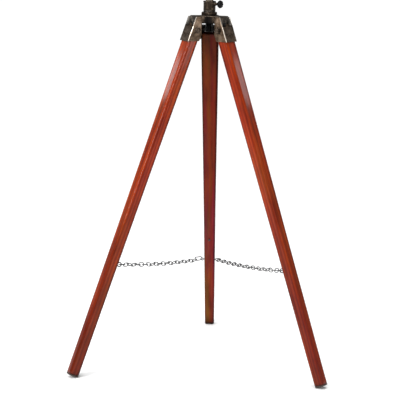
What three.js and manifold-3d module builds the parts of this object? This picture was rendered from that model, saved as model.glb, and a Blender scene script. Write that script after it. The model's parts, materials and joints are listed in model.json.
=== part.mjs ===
// Three-legged wooden floor stand: cast hub with a post socket, three tapered hardwood
// legs hinged in folded-sheet brackets, and two chain runs that limit the spread.
// Millimetres, +Z up. The back leg points to +Y, the two front legs to 210 and 330 degrees.
import * as THREE from 'three';
import { mergeVertices } from 'three/addons/utils/BufferGeometryUtils.js';
import Module from 'manifold-3d';

const wasm = await Module();
wasm.setup();

// ---------------------------------------------------------------- driving dimensions
const SPLAY = THREE.MathUtils.degToRad(20.22); // leg tilt from vertical when spread
const PIVOT_R = 46.8;        // pivot circle radius
const LEG_LEN = 1000;        // pivot to the underside of the foot pad, along the leg
const PAD_T = 3.5;           // foot pad thickness
const PAD_HALF_N = 14.95;    // half of the pad in the radial direction
const GAP = 0.3;             // clearance between neighbouring pieces
const PIVOT_Z = LEG_LEN * Math.cos(SPLAY) + PAD_HALF_N * Math.sin(SPLAY);

const WOOD_TOP = -10.5;      // top end of the wood, below the pivot
const WOOD_W = [[0, 48.2], [40, 48.2], [100, 47.0], [150, 45.5], [350, 40.3], [600, 34.6], [800, 31.5], [1000, 28.5]];
const WOOD_D = [[0, 28.6], [1000, 29.5]];
const WOOD_R = 7.6;          // rounding of the long edges

const SHEET = 2.5;           // bracket sheet thickness
const BR_IN_T = 24.4;        // half of the bracket's inner width
const BR_IN_N = 14.7;        // inner face of the bracket's outer plate
const BR_BOTTOM = -29.4;     // bracket lower edge, relative to the pivot
const BR_PLATE_TOP = 10.4;   // plate upper edge, relative to the pivot
const BR_CHEEK_TOP = 36.0;   // cheek upper edge, relative to the pivot

const HUB_LOW = 17.8, HUB_TOP = 38.4;   // hub plate, relative to the pivot
const HUB_ARM_R = 47.2, HUB_ARM_HALF = 23.3;
const HUB_FILLET = 15;
const BARREL_R = 8, BARREL_HALF = 23.8, WEB_HALF = 9;

const POST_R = 10.5, POST_FLOOR = 20.3, POST_TOP = 126;
const SOCKET_R = 16.65, SOCKET_TOP = 77.9;
const COLLAR_AF = 41.5, COLLAR_T = 9.4;
const SPIGOT_R = 13.5;
const CLAMP_AZ = THREE.MathUtils.degToRad(330), CLAMP_Z = 69.9;
const KNOB_R = 10.6, KNOB_IN = 30.6, KNOB_OUT = 39.8;

const BOLT_R = 4.0, BOLT_HOLE = 4.3;
const EYE_FRONT = { ring: 5.6, wire: 1.5, stand: 9.0 };   // ring centreline radius, wire radius, ring centre above the wood
const EYE_BACK = { ring: 4.8, wire: 1.25, stand: 6.6 };
const EYE_BACK_TURN = THREE.MathUtils.degToRad(-12);   // turn of the back rings about their shanks
const EYE_S_FRONT = 672, EYE_S_BACK = 765;   // eye position along the leg, from the pivot
const CHAIN_R = 3.0, CHAIN_SAG = 6.0, MEET = 0.5943;   // stand-in tube radius, sag, share of the run in the front half
const HOOK_LEN = 43, HOOK_HALF = 5.1;

const WOOD_COL = 0x8f3518, BRONZE_COL = 0x5d5040, BLACK_COL = 0x17161a, STEEL_COL = 0x70777c, RUBBER_COL = 0x241d1b;

// ---------------------------------------------------------------- helpers
function mat(color, roughness, metalness) {
  return new THREE.MeshStandardMaterial({ color, roughness, metalness });
}
function toSolid(geometry) {
  let g = geometry.clone();
  g.deleteAttribute('normal');
  g.deleteAttribute('uv');
  g = mergeVertices(g, 1e-4);
  const pos = g.getAttribute('position');
  const mesh = new wasm.Mesh({
    numProp: 3,
    vertProperties: new Float32Array(pos.array),
    triVerts: new Uint32Array(g.getIndex().array),
  });
  mesh.merge();
  return new wasm.Manifold(mesh);
}
function toGeometry(solid) {
  const m = solid.getMesh();
  const g = new THREE.BufferGeometry();
  g.setAttribute('position', new THREE.BufferAttribute(new Float32Array(m.vertProperties), 3));
  g.setIndex(new THREE.BufferAttribute(new Uint32Array(m.triVerts), 1));
  g.computeVertexNormals();
  return g;
}
// cylinder of radius r from point a to point b
function rod(r, a, b, seg = 20) {
  const d = new THREE.Vector3().subVectors(b, a);
  const g = new THREE.CylinderGeometry(r, r, d.length(), seg);
  g.applyQuaternion(new THREE.Quaternion().setFromUnitVectors(new THREE.Vector3(0, 1, 0), d.clone().normalize()));
  const m = new THREE.Vector3().addVectors(a, b).multiplyScalar(0.5);
  g.translate(m.x, m.y, m.z);
  return g;
}
const V = (x, y, z) => new THREE.Vector3(x, y, z);
function block(x0, x1, y0, y1, z0, z1) {
  const g = new THREE.BoxGeometry(x1 - x0, y1 - y0, z1 - z0);
  g.translate((x0 + x1) / 2, (y0 + y1) / 2, (z0 + z1) / 2);
  return g;
}
// revolved profile [[radius, height], ...], axis +Z
function turned(profile, seg = 24) {
  const g = new THREE.LatheGeometry(profile.map((p) => new THREE.Vector2(p[0], p[1])), seg);
  g.rotateX(Math.PI / 2);
  return g;
}
function table(rows, s) {
  if (s <= rows[0][0]) return rows[0][1];
  for (let i = 1; i < rows.length; i++) {
    if (s <= rows[i][0]) {
      const f = (s - rows[i - 1][0]) / (rows[i][0] - rows[i - 1][0]);
      return rows[i - 1][1] + f * (rows[i][1] - rows[i - 1][1]);
    }
  }
  return rows[rows.length - 1][1];
}
function polygon(points) {
  const s = new THREE.Shape();
  points.forEach((p, i) => (i ? s.lineTo(p[0], p[1]) : s.moveTo(p[0], p[1])));
  s.closePath();
  return s;
}
// rounds the corners of a closed polygon; radii[i] belongs to points[i]
function roundedPolygon(points, radii, seg = 5) {
  const out = [];
  const n = points.length;
  for (let i = 0; i < n; i++) {
    const p = new THREE.Vector2(...points[i]);
    const a = new THREE.Vector2(...points[(i + n - 1) % n]).sub(p);
    const b = new THREE.Vector2(...points[(i + 1) % n]).sub(p);
    const r = radii[i];
    if (!r) { out.push([p.x, p.y]); continue; }
    a.normalize(); b.normalize();
    const half = Math.acos(THREE.MathUtils.clamp(a.dot(b), -1, 1)) / 2;
    const t = r / Math.tan(half);
    const p0 = p.clone().addScaledVector(a, t);
    const p1 = p.clone().addScaledVector(b, t);
    const c = p.clone().addScaledVector(a.clone().add(b).normalize(), r / Math.sin(half));
    let a0 = Math.atan2(p0.y - c.y, p0.x - c.x);
    let a1 = Math.atan2(p1.y - c.y, p1.x - c.x);
    while (a1 - a0 > Math.PI) a1 -= 2 * Math.PI;
    while (a1 - a0 < -Math.PI) a1 += 2 * Math.PI;
    for (let k = 0; k <= seg; k++) {
      const q = a0 + (a1 - a0) * (k / seg);
      out.push([c.x + r * Math.cos(q), c.y + r * Math.sin(q)]);
    }
  }
  return out;
}

const root = new THREE.Group();   // stand axis at x = y = 0, floor at z = 0
function add(parent, name, geometry, material, place) {
  const m = new THREE.Mesh(geometry, material);
  m.name = name;
  if (place) place(m);
  parent.add(m);
  return m;
}

const bronze = (r = 0.42) => mat(BRONZE_COL, r, 0.85);

// ---------------------------------------------------------------- head (pivot plane is z = 0 here)
const head = new THREE.Group();
head.position.z = PIVOT_Z;
root.add(head);
const LEGS = [['left', 210], ['right', 330], ['back', 90]];

// hub: three-armed plate with filleted notches, bolt barrels hung below on webs
{
  const pts = [], radii = [];
  for (const deg of [90, 210, 330]) {
    const A = THREE.MathUtils.degToRad(deg);
    const at = (r, t) => [r * Math.cos(A) - t * Math.sin(A), r * Math.sin(A) + t * Math.cos(A)];
    pts.push(at(HUB_ARM_R, -HUB_ARM_HALF), at(HUB_ARM_R, HUB_ARM_HALF));
    radii.push(2.2, 2.2);
    const N = A + Math.PI / 3, q = HUB_ARM_HALF / Math.sin(Math.PI / 3);
    pts.push([q * Math.cos(N), q * Math.sin(N)]);
    radii.push(HUB_FILLET);
  }
  const outline = roundedPolygon(pts, radii, 4);
  const c = 1.3;
  const plate = new THREE.ExtrudeGeometry(polygon(outline), {
    depth: HUB_TOP - HUB_LOW - 2 * c, bevelEnabled: true, bevelThickness: c, bevelSize: c, bevelOffset: -c, bevelSegments: 1, curveSegments: 1,
  });
  plate.translate(0, 0, HUB_LOW + c);
  let hub = toSolid(plate);
  for (const [, deg] of LEGS) {
    const A = THREE.MathUtils.degToRad(deg);
    const web = block(PIVOT_R - 6.5, PIVOT_R + 2.4, -WEB_HALF, WEB_HALF, -4, HUB_LOW + 3);
    web.rotateZ(A);
    const barrel = rod(BARREL_R, V(PIVOT_R, -BARREL_HALF, 0), V(PIVOT_R, BARREL_HALF, 0), 24);
    barrel.rotateZ(A);
    hub = hub.add(toSolid(web)).add(toSolid(barrel));
  }
  for (const [, deg] of LEGS) {
    const A = THREE.MathUtils.degToRad(deg);
    const bore = rod(BOLT_HOLE, V(PIVOT_R, -BARREL_HALF - 5, 0), V(PIVOT_R, BARREL_HALF + 5, 0), 20);
    bore.rotateZ(A);
    hub = hub.subtract(toSolid(bore));
  }
  // tapered boss hanging under the middle of the plate
  hub = hub.add(toSolid(turned([[0, -6], [11.0, -6], [12.2, -4.8], [12.0, -2], [9.8, 12], [10.4, HUB_LOW + 3], [0, HUB_LOW + 3]], 24)));
  hub = hub.subtract(toSolid(rod(POST_R + GAP, V(0, 0, POST_FLOOR), V(0, 0, 60), 32)));
  hub = hub.subtract(toSolid(rod(SPIGOT_R + GAP, V(0, 0, HUB_TOP - 10.6), V(0, 0, 60), 32)));
  hub = hub.subtract(toSolid(rod(3.5, V(0, 0, -12), V(0, 0, 60), 16)));
  add(head, 'hub_casting', toGeometry(hub), bronze());
}

// post socket: tube with a spigot let into the hub and a side boss for the clamp screw
{
  const top = SOCKET_TOP, low = HUB_TOP + GAP, b = POST_R + GAP;
  const z0 = HUB_TOP - 10.3;
  const tube = turned([
    [b, z0], [SPIGOT_R, z0], [SPIGOT_R, low], [SOCKET_R, low], [SOCKET_R, top - 4.2], [SOCKET_R + 0.7, top - 3.4],
    [SOCKET_R + 0.7, top - 0.9], [SOCKET_R - 0.1, top], [b + 0.6, top], [b, top - 0.6], [b, z0],
  ], 36);
  let s = toSolid(tube);
  const dir = V(Math.cos(CLAMP_AZ), Math.sin(CLAMP_AZ), 0);
  const boss = rod(5.2, dir.clone().multiplyScalar(13.5).setZ(CLAMP_Z), dir.clone().multiplyScalar(19.6).setZ(CLAMP_Z), 20);
  s = s.add(toSolid(boss));
  s = s.subtract(toSolid(rod(b, V(0, 0, z0 - 5), V(0, 0, top + 5), 36)));
  s = s.subtract(toSolid(rod(3.3, dir.clone().multiplyScalar(4).setZ(CLAMP_Z), dir.clone().multiplyScalar(24).setZ(CLAMP_Z), 16)));
  add(head, 'post_socket', toGeometry(s), bronze(0.4));
}

// hexagonal lock collar round the foot of the socket
{
  const R = COLLAR_AF / 2 / Math.cos(Math.PI / 6);
  const hex = [];
  for (let i = 0; i < 6; i++) hex.push([R * Math.cos(-Math.PI / 2 + i * Math.PI / 3), R * Math.sin(-Math.PI / 2 + i * Math.PI / 3)]);
  const z0 = HUB_TOP + GAP, z1 = z0 + COLLAR_T;
  const prism = new THREE.ExtrudeGeometry(polygon(hex), { depth: z1 - z0, bevelEnabled: false });
  prism.translate(0, 0, z0);
  const cone = turned([[0, z0], [R - 2.2, z0], [R + 0.2, z0 + 1.5], [R + 0.2, z1 - 2.4], [R - 3.6, z1], [0, z1]], 36);
  let c = toSolid(prism).intersect(toSolid(cone));
  c = c.subtract(toSolid(rod(SOCKET_R + GAP, V(0, 0, z0 - 5), V(0, 0, z1 + 5), 36)));
  add(head, 'lock_collar', toGeometry(c), bronze(0.36));
}

// sliding mounting post
add(head, 'mount_post', turned([[0, POST_FLOOR + GAP], [POST_R - 1, POST_FLOOR + GAP], [POST_R, POST_FLOOR + GAP + 1],
  [POST_R, POST_TOP - 1.2], [POST_R - 1.2, POST_TOP], [0, POST_TOP]], 36), mat(0x6d5f4c, 0.34, 0.9));

// clamp screw and fluted knob, on one axis through the socket's boss
{
  const clamp = new THREE.Group();
  clamp.position.z = CLAMP_Z;
  clamp.rotation.set(0, Math.PI / 2, CLAMP_AZ, 'ZYX');   // local +Z points outward
  head.add(clamp);
  add(clamp, 'clamp_screw', turned([[0, POST_R + GAP], [2.2, POST_R + GAP], [3.0, POST_R + GAP + 1], [3.0, 20.2], [4.2, 20.2], [4.2, 22.6],
    [3.0, 23.2], [3.0, KNOB_OUT - 3.2], [0, KNOB_OUT - 3.2]], 16), bronze(0.4));
  const pts = [];
  const flutes = 8, per = 6;
  for (let i = 0; i < flutes * per; i++) {
    const a = (i / (flutes * per)) * 2 * Math.PI;
    const w = Math.cos(a * flutes);
    pts.push([(KNOB_R - 0.6 + 0.6 * w) * Math.cos(a), (KNOB_R - 0.6 + 0.6 * w) * Math.sin(a)]);
  }
  const body = new THREE.ExtrudeGeometry(polygon(pts), { depth: KNOB_OUT - KNOB_IN - 3, bevelEnabled: true, bevelThickness: 1.5, bevelSize: 1.4, bevelOffset: -1.4, bevelSegments: 1 });
  body.translate(0, 0, KNOB_IN + 1.5);
  let k = toSolid(body).add(toSolid(rod(5.0, V(0, 0, KNOB_IN - 4), V(0, 0, KNOB_IN + 3), 20)));
  k = k.subtract(toSolid(rod(3.0 + GAP, V(0, 0, KNOB_IN - 8), V(0, 0, KNOB_OUT - 2.9), 16)));
  add(clamp, 'clamp_knob', toGeometry(k), mat(BLACK_COL, 0.35, 0.1));
}

// ---------------------------------------------------------------- legs
// local frame of a leg: x outward (normal to the broad face), y sideways, z up along the leg, pivot at the origin
const ca = Math.cos(SPLAY), sa = Math.sin(SPLAY);
const toLeg = (R, Z) => [R * ca + Z * sa, -R * sa + Z * ca];   // radial/vertical offsets at the spread pose to leg x, z

function woodSolid() {
  const s0 = -WOOD_TOP, s1 = LEG_LEN - PAD_T - GAP;
  const q = 6;
  const unit = [];
  // unit section with slots for the rounding: sign pattern and rounding direction are kept apart
  for (let c = 0; c < 4; c++) {
    for (let k = 0; k <= q; k++) {
      const a = (c + k / q) * Math.PI / 2;
      unit.push([c, a]);
    }
  }
  const sx = [1, -1, -1, 1], sy = [1, 1, -1, -1];
  const shape = polygon(unit.map(([c, a]) => [sx[c] * 10 + 3 * Math.cos(a), sy[c] * 10 + 3 * Math.sin(a)]));
  const steps = [0, 40, 100, 150, 250, 350, 475, 600, 700, 800, 900, 1000].filter((s) => s > s0 + 10 && s < s1 - 10);
  const stations = [s0, ...steps, s1];
  const g = new THREE.ExtrudeGeometry(shape, { depth: stations.length - 1, steps: stations.length - 1, bevelEnabled: false, curveSegments: 1 });
  const pos = g.getAttribute('position');
  for (let i = 0; i < pos.count; i++) {
    const x = pos.getX(i), y = pos.getY(i), z = pos.getZ(i);
    const s = stations[stations.length - 1 - Math.round(z)];
    const hw = table(WOOD_W, s) / 2, hd = table(WOOD_D, s) / 2;
    const ix = Math.sign(x), iy = Math.sign(y);
    const rx = (x - ix * 10) / 3, ry = (y - iy * 10) / 3;   // unit rounding vector
    pos.setXYZ(i, ix * (hd - WOOD_R) + WOOD_R * rx, iy * (hw - WOOD_R) + WOOD_R * ry, -s);
  }
  return toSolid(g);
}

function bracketSolid() {
  const xo = BR_IN_N + SHEET, yo = BR_IN_T + SHEET;
  // U section in x-y, opening to -x
  const u = roundedPolygon([[-30, -yo], [xo, -yo], [xo, yo], [-30, yo], [-30, BR_IN_T], [BR_IN_N, BR_IN_T], [BR_IN_N, -BR_IN_T], [-30, -BR_IN_T]],
    [0, 2.6, 2.6, 0, 0, 0, 0, 0], 3);
  const channel = new THREE.ExtrudeGeometry(polygon(u), { depth: 100, bevelEnabled: false, curveSegments: 1 });
  channel.translate(0, 0, -55);
  // side profile in leg x-z, given at the spread pose as radial and vertical offsets
  const line = (Z, n) => { const uu = (Z - n * sa) / ca; return [n * ca - uu * sa, Z]; };   // point of the line x = n at height Z
  const inner = -14.3;
  const RZ = [line(BR_BOTTOM, inner), line(BR_BOTTOM, xo), line(BR_CHEEK_TOP, xo), [-11.8, BR_CHEEK_TOP], [-11.8, -12]];
  const prof = roundedPolygon(RZ.map(([R, Z]) => toLeg(R, Z)), [1.5, 0, 3.2, 5.5, 4], 4);
  // shape plane x-y becomes leg x-z, extruded along leg y
  const side = new THREE.ExtrudeGeometry(polygon(prof), { depth: 80, bevelEnabled: false, curveSegments: 1 });
  side.rotateX(Math.PI / 2);
  side.translate(0, 40, 0);
  let b = toSolid(channel).intersect(toSolid(side));
  // open the top of the plate between the cheeks, level at the spread pose
  const cut = block(-60, 60, -BR_IN_T, BR_IN_T, 0, 60);
  cut.rotateY(SPLAY);
  const [cx, cz] = toLeg(0, BR_PLATE_TOP);
  cut.translate(cx, 0, cz);
  b = b.subtract(toSolid(cut));
  b = b.subtract(toSolid(rod(BOLT_HOLE, V(0, -40, 0), V(0, 40, 0), 20)));
  for (const y of [-14, 14]) b = b.subtract(toSolid(rod(1.9, V(0, y, -17), V(30, y, -17), 12)));
  return b;
}

function domedHead(r, h, z0, up = 1) {   // profile points of a domed head standing on z0
  const p = [];
  for (let i = 0; i <= 4; i++) { const a = (i / 4) * Math.PI / 2; p.push([r * Math.cos(a), z0 + up * (0.6 + (h - 0.6) * Math.sin(a))]); }
  p[p.length - 1][0] = 0;
  return p;
}

// screw eye: ring whose hole faces the chain, with its shank let into the wood; local +Z points away from the wood
function eyeSolid({ ring, wire, stand }) {
  const profile = [];
  for (let i = 0; i <= 8; i++) { const a = (i / 8) * 2 * Math.PI; profile.push([ring + wire * Math.cos(a), wire * Math.sin(a)]); }
  const torus = turned(profile, 20);
  torus.rotateX(Math.PI / 2);                           // ring plane holds local z, hole axis is local y
  const shank = rod(wire, V(0, 0, -stand - 12), V(0, 0, -ring), 10);
  return toSolid(torus).add(toSolid(shank));
}

const eyeAt = {};   // leg, centre and shank direction of every screw eye
const legGroups = {};
for (const [name, deg] of LEGS) {
  const arm = new THREE.Group();
  arm.rotation.z = THREE.MathUtils.degToRad(deg);
  root.add(arm);
  const leg = new THREE.Group();
  leg.position.set(PIVOT_R, 0, PIVOT_Z);
  leg.rotation.y = -SPLAY;
  arm.add(leg);
  legGroups[name] = leg;

  add(leg, `bracket_${name}`, toGeometry(bracketSolid()), bronze(0.44));

  // wooden leg with its pilot holes
  let wood = woodSolid();
  const faceN = (s) => table(WOOD_D, s) / 2, faceT = (s) => table(WOOD_W, s) / 2;
  for (const y of [-14, 14]) wood = wood.subtract(toSolid(rod(1.9, V(-2, y, -17), V(30, y, -17), 12)));
  const eyes = name === 'back'
    ? [['left', V(0, faceT(EYE_S_BACK) + EYE_BACK.stand, -EYE_S_BACK), V(0, 1, 0)], ['right', V(0, -faceT(EYE_S_BACK) - EYE_BACK.stand, -EYE_S_BACK), V(0, -1, 0)]]
    : [['', V(-faceN(EYE_S_FRONT) - EYE_FRONT.stand, 0, -EYE_S_FRONT), V(-1, 0, 0)]];
  const eye = name === 'back' ? EYE_BACK : EYE_FRONT;
  for (const [, p, d] of eyes) {
    const a = p.clone().addScaledVector(d, -eye.stand - 12.4), b = p.clone();
    wood = wood.subtract(toSolid(rod(eye.wire + GAP, a, b, 12)));
  }
  if (name === 'back') wood = wood.subtract(toSolid(rod(1.5, V(-faceN(683) + 9, 0, -683), V(-faceN(683) - 9, 0, -683), 12)));
  wood = wood.subtract(toSolid(rod(1.5, V(0, 0, -LEG_LEN - 5), V(0, 0, -LEG_LEN + 20), 12)));
  add(leg, `leg_${name}`, toGeometry(wood), mat(WOOD_COL, 0.3, 0));

  // pivot bolt with domed head, two washers and a domed hexagon nut
  const yo = BR_IN_T + SHEET, h0 = yo + GAP + 1.2 + GAP;
  const bolt = turned([[0, -h0 - 8.2], [BOLT_R - 0.8, -h0 - 8.2], [BOLT_R, -h0 - 7.4], [BOLT_R, h0], [7.0, h0], ...domedHead(7.0, 3.6, h0)], 20);
  add(leg, `pivot_bolt_${name}`, bolt, bronze(0.35), (m) => { m.rotation.x = -Math.PI / 2; });
  for (const [side, sg] of [['a', 1], ['b', -1]]) {
    const w = turned([[BOLT_HOLE, yo + GAP], [8.2, yo + GAP], [8.2, yo + GAP + 1.2], [BOLT_HOLE, yo + GAP + 1.2], [BOLT_HOLE, yo + GAP]], 20);
    add(leg, `pivot_washer_${name}_${side}`, w, bronze(0.35), (m) => { m.rotation.x = sg > 0 ? -Math.PI / 2 : Math.PI / 2; });
  }
  const hex = [];
  for (let i = 0; i < 6; i++) hex.push([7.5 * Math.cos(i * Math.PI / 3), 7.5 * Math.sin(i * Math.PI / 3)]);
  const nutG = new THREE.ExtrudeGeometry(polygon(hex), { depth: 6.4, bevelEnabled: false });
  nutG.translate(0, 0, h0);
  const nutCone = turned([[0, h0], [7.6, h0], [7.6, h0 + 5.0], [6.0, h0 + 6.4], [0, h0 + 6.4]], 24);
  const nut = toSolid(nutG).intersect(toSolid(nutCone)).subtract(toSolid(rod(BOLT_HOLE, V(0, 0, h0 - 4), V(0, 0, h0 + 12), 20)));
  add(leg, `pivot_nut_${name}`, toGeometry(nut), bronze(0.35), (m) => { m.rotation.x = Math.PI / 2; });

  // wood screws through the bracket's outer plate
  for (const [side, y] of [['a', -14], ['b', 14]]) {
    const f = BR_IN_N + SHEET + GAP;
    const screw = turned([[0, 0], [1.5, 1.5], [1.5, f], [3.2, f], ...domedHead(3.2, 2.0, f)], 14);
    add(leg, `bracket_screw_${name}_${side}`, screw, bronze(0.35), (m) => { m.position.set(0, y, -17); m.rotation.y = Math.PI / 2; });
  }

  // foot pad, fixed by one round-headed nail
  const hw = 14.45, r = 7.8;
  const pad = new THREE.ExtrudeGeometry(polygon(roundedPolygon([[-PAD_HALF_N, -hw], [PAD_HALF_N, -hw], [PAD_HALF_N, hw], [-PAD_HALF_N, hw]], [r, r, r, r], 6)),
    { depth: PAD_T, bevelEnabled: false, curveSegments: 1 });
  pad.translate(0, 0, -LEG_LEN);
  let padS = toSolid(pad).subtract(toSolid(rod(1.5, V(0, 0, -LEG_LEN - 5), V(0, 0, -LEG_LEN + 10), 12)));
  padS = padS.subtract(toSolid(rod(3.5, V(0, 0, -LEG_LEN - 5), V(0, 0, -LEG_LEN + 1.7), 14)));
  add(leg, `foot_pad_${name}`, toGeometry(padS), mat(RUBBER_COL, 0.8, 0));
  const nail = turned([[0, -LEG_LEN + 17], [1.2, -LEG_LEN + 14], [1.2, -LEG_LEN + 1.4], [3.1, -LEG_LEN + 1.4], [3.1, -LEG_LEN + 0.8], [0, -LEG_LEN + 0.4]].reverse(), 14);
  add(leg, `foot_nail_${name}`, nail, mat(STEEL_COL, 0.4, 0.9));

  for (const [side, p, d] of eyes) eyeAt[name === 'back' ? `back_${side}` : name] = { leg: name, p, d };
  if (name === 'back') {
    // small round-headed stow screw on the inner face
    const f = faceN(683) + GAP;
    const stow = turned([[0, f - 8], [1.2, f - 7], [1.2, f + 4.2], [3.0, f + 4.2], ...domedHead(3.0, 1.8, f + 4.2)], 14);
    add(leg, 'stow_screw', stow, mat(STEEL_COL, 0.4, 0.9), (m) => { m.position.set(0, 0, -683); m.rotation.y = -Math.PI / 2; });
  }
}

// ---------------------------------------------------------------- chain runs
root.updateMatrixWorld(true);
const world = (key) => legGroups[eyeAt[key].leg].localToWorld(eyeAt[key].p.clone());
// screw eyes: each ring stands in a plane that holds the leg's length
for (const key of ['left', 'right', 'back_left', 'back_right']) {
  const { leg, p, d } = eyeAt[key];
  const turn = key === 'back_left' ? EYE_BACK_TURN : key === 'back_right' ? -EYE_BACK_TURN : 0;
  const x = V(0, 0, 1).applyAxisAngle(d, turn), y = new THREE.Vector3().crossVectors(d, x);
  add(legGroups[leg], `chain_eye_${key}`, toGeometry(eyeSolid(leg === 'back' ? EYE_BACK : EYE_FRONT)), mat(STEEL_COL, 0.4, 0.9), (m) => {
    m.position.copy(p);
    m.quaternion.setFromRotationMatrix(new THREE.Matrix4().makeBasis(x, y, d));
  });
}
function tube(points, r, sides, steps) {
  const curve = new THREE.CatmullRomCurve3(points, false, 'centripetal');
  const ring = [];
  for (let i = 0; i < sides; i++) ring.push([r * Math.cos((i / sides) * 2 * Math.PI), r * Math.sin((i / sides) * 2 * Math.PI)]);
  return new THREE.ExtrudeGeometry(polygon(ring), { steps, extrudePath: curve, bevelEnabled: false, curveSegments: 1 });
}
for (const side of ['left', 'right']) {
  const a = world(side), b = world(`back_${side}`);
  const L = a.distanceTo(b);
  const at = (f) => a.clone().lerp(b, f).add(V(0, 0, -4 * CHAIN_SAG * f * (1 - f)));
  const range = (f0, f1, n) => Array.from({ length: n }, (_, i) => at(f0 + (f1 - f0) * (i / (n - 1))));
  const hook = side === 'left' ? HOOK_LEN + 1.5 : 8.6;
  add(root, `chain_front_${side}`, tube(range(9.2 / L, MEET - 0.4 / L, 9), CHAIN_R, 8, 14), mat(STEEL_COL, 0.4, 0.9));
  add(root, `chain_back_${side}`, tube(range(MEET + 0.4 / L, 1 - hook / L, 7), CHAIN_R, 8, 10), mat(STEEL_COL, 0.4, 0.9));
  if (side === 'left') {
    // long wire hook between the back eye and the last link, wrapped round the eye's wire
    const v = at(1 - 0.06).sub(b).normalize();
    const n = V(Math.cos(EYE_BACK_TURN), 0, -Math.sin(EYE_BACK_TURN)).transformDirection(legGroups.back.matrixWorld);   // hole axis of the eye
    const rho = v.clone().addScaledVector(n, -v.dot(n)).normalize();
    const q = new THREE.Vector3().crossVectors(new THREE.Vector3().crossVectors(n, rho), v).normalize();
    const w0 = b.clone().addScaledVector(rho, EYE_BACK.ring).addScaledVector(v, -0.6);
    const h = HOOK_HALF, e = HOOK_LEN - 4;
    const pts = [[6.5, h], [3, h + 0.2], [0, h - 0.4], [-2.6, 2.6], [-3.5, 0], [-2.6, -2.6], [0, -h + 0.4], [5, -h], [e * 0.5, -h], [e - 5, -h], [e - 1.2, -h * 0.7], [e, 0], [e - 1.2, h * 0.7], [e - 5, h], [e * 0.5, h], [14, h], [10.5, h]];
    add(root, 'chain_hook', tube(pts.map(([x, y]) => w0.clone().addScaledVector(v, x).addScaledVector(q, y)), 1.2, 8, 44), mat(STEEL_COL, 0.4, 0.9));
  }
}

// ---------------------------------------------------------------- frame: origin under the middle of the outline
root.updateMatrixWorld(true);
const box = new THREE.Box3().setFromObject(root, true);
const object = new THREE.Group();
root.position.set(-(box.min.x + box.max.x) / 2, -(box.min.y + box.max.y) / 2, -box.min.z);
object.add(root);
object.updateMatrixWorld(true);

export default object;
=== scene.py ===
# Wooden field tripod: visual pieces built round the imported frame. Metres, row frame.
import json
import math
import random

import bmesh
import bpy
from mathutils import Matrix, Vector


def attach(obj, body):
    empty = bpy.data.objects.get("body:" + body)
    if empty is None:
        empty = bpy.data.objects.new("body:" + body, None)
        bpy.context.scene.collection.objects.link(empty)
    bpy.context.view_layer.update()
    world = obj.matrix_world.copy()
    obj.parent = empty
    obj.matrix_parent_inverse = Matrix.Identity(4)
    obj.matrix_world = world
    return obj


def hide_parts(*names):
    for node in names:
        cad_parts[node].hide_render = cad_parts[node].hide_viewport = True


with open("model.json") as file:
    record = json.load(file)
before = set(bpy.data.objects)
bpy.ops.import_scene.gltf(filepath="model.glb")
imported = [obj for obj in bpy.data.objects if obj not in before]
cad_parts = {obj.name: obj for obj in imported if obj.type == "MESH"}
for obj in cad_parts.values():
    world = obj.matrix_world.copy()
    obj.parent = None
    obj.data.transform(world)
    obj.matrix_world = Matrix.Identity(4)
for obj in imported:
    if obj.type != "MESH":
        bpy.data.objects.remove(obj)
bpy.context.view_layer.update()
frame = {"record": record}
RECORD = frame["record"]
rng = random.Random(7)

# ------------------------------------------------------------------ camera
TOP_PT = next(m for m in RECORD["mounts"] if m["name"] == "post_top")["pos_m"]
SY = TOP_PT[1]                       # the stand's axis lies at x = 0, y = SY
AXIS = Vector((0.0, SY, 0.0))

PSI = math.radians(3.52)             # the camera stands this far round the axis


def cam_world(p):
    """A point or direction given in the camera's own upright frame, turned into the row frame about the stand's axis."""
    return Matrix.Rotation(PSI, 3, "Z") @ Vector(p)


D, HC, PITCH, F_PX, YAW, ROLL = 3.6555, 1.1590, 0.1867, 1327.34, -0.0037, 0.0235
fwd = Vector((math.sin(YAW) * math.cos(PITCH), math.cos(YAW) * math.cos(PITCH), -math.sin(PITCH)))
right = Vector((math.cos(YAW), -math.sin(YAW), 0))
up = right.cross(fwd)
r2 = math.cos(ROLL) * right + math.sin(ROLL) * up
u2 = -math.sin(ROLL) * right + math.cos(ROLL) * up
cam_data = bpy.data.cameras.new("camera")
cam = bpy.data.objects.new("camera", cam_data)
bpy.context.scene.collection.objects.link(cam)
bpy.context.scene.camera = cam
cam_data.sensor_fit = "HORIZONTAL"
cam_data.sensor_width = 36.0
cam_data.lens = F_PX / 400.0 * 36.0
cam_data.clip_start, cam_data.clip_end = 0.05, 1200.0
R = Matrix((cam_world(r2), cam_world(u2), -cam_world(fwd))).transposed().to_4x4()
cam.matrix_world = Matrix.Translation(AXIS + cam_world((0, -D, HC))) @ R

# ------------------------------------------------------------------ dimensions (mm), as in the CAD
SPLAY = math.radians(20.22)
CA, SA = math.cos(SPLAY), math.sin(SPLAY)
PIVOT_R = 46.8
LEG_LEN = 1000.0
PIVOT_Z = LEG_LEN * CA + 14.95 * SA
PAD_T = 3.5
GAP = 0.3
WOOD_W = [(0, 48.2), (40, 48.2), (100, 47.0), (150, 45.5), (350, 40.3), (600, 34.6), (800, 31.5), (1000, 28.5)]
WOOD_D = [(0, 28.6), (1000, 29.5)]
WOOD_R = 7.6
POST_R, POST_FLOOR, POST_TOP = 10.5, 20.3, 126.0
HUB_LOW, HUB_TOP, ARM_R, ARM_HALF, FILLET = 17.8, 38.4, 47.2, 23.3, 15.0
SOCKET_R, SOCKET_TOP = 16.65, 77.9
CLAMP_Z = 69.9
KNOB_R, KNOB_IN, KNOB_OUT = 10.6, 30.6, 39.8
SHEET, BR_IN_T, BR_IN_N = 2.5, 24.4, 14.7
BR_BOTTOM, BR_PLATE_TOP, BR_CHEEK_TOP = -29.4, 10.4, 36.0
EYE_FRONT = dict(ring=5.6, wire=1.5, stand=9.0)
EYE_BACK = dict(ring=4.8, wire=1.25, stand=6.6)
EYE_BACK_TURN = math.radians(-12)
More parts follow.
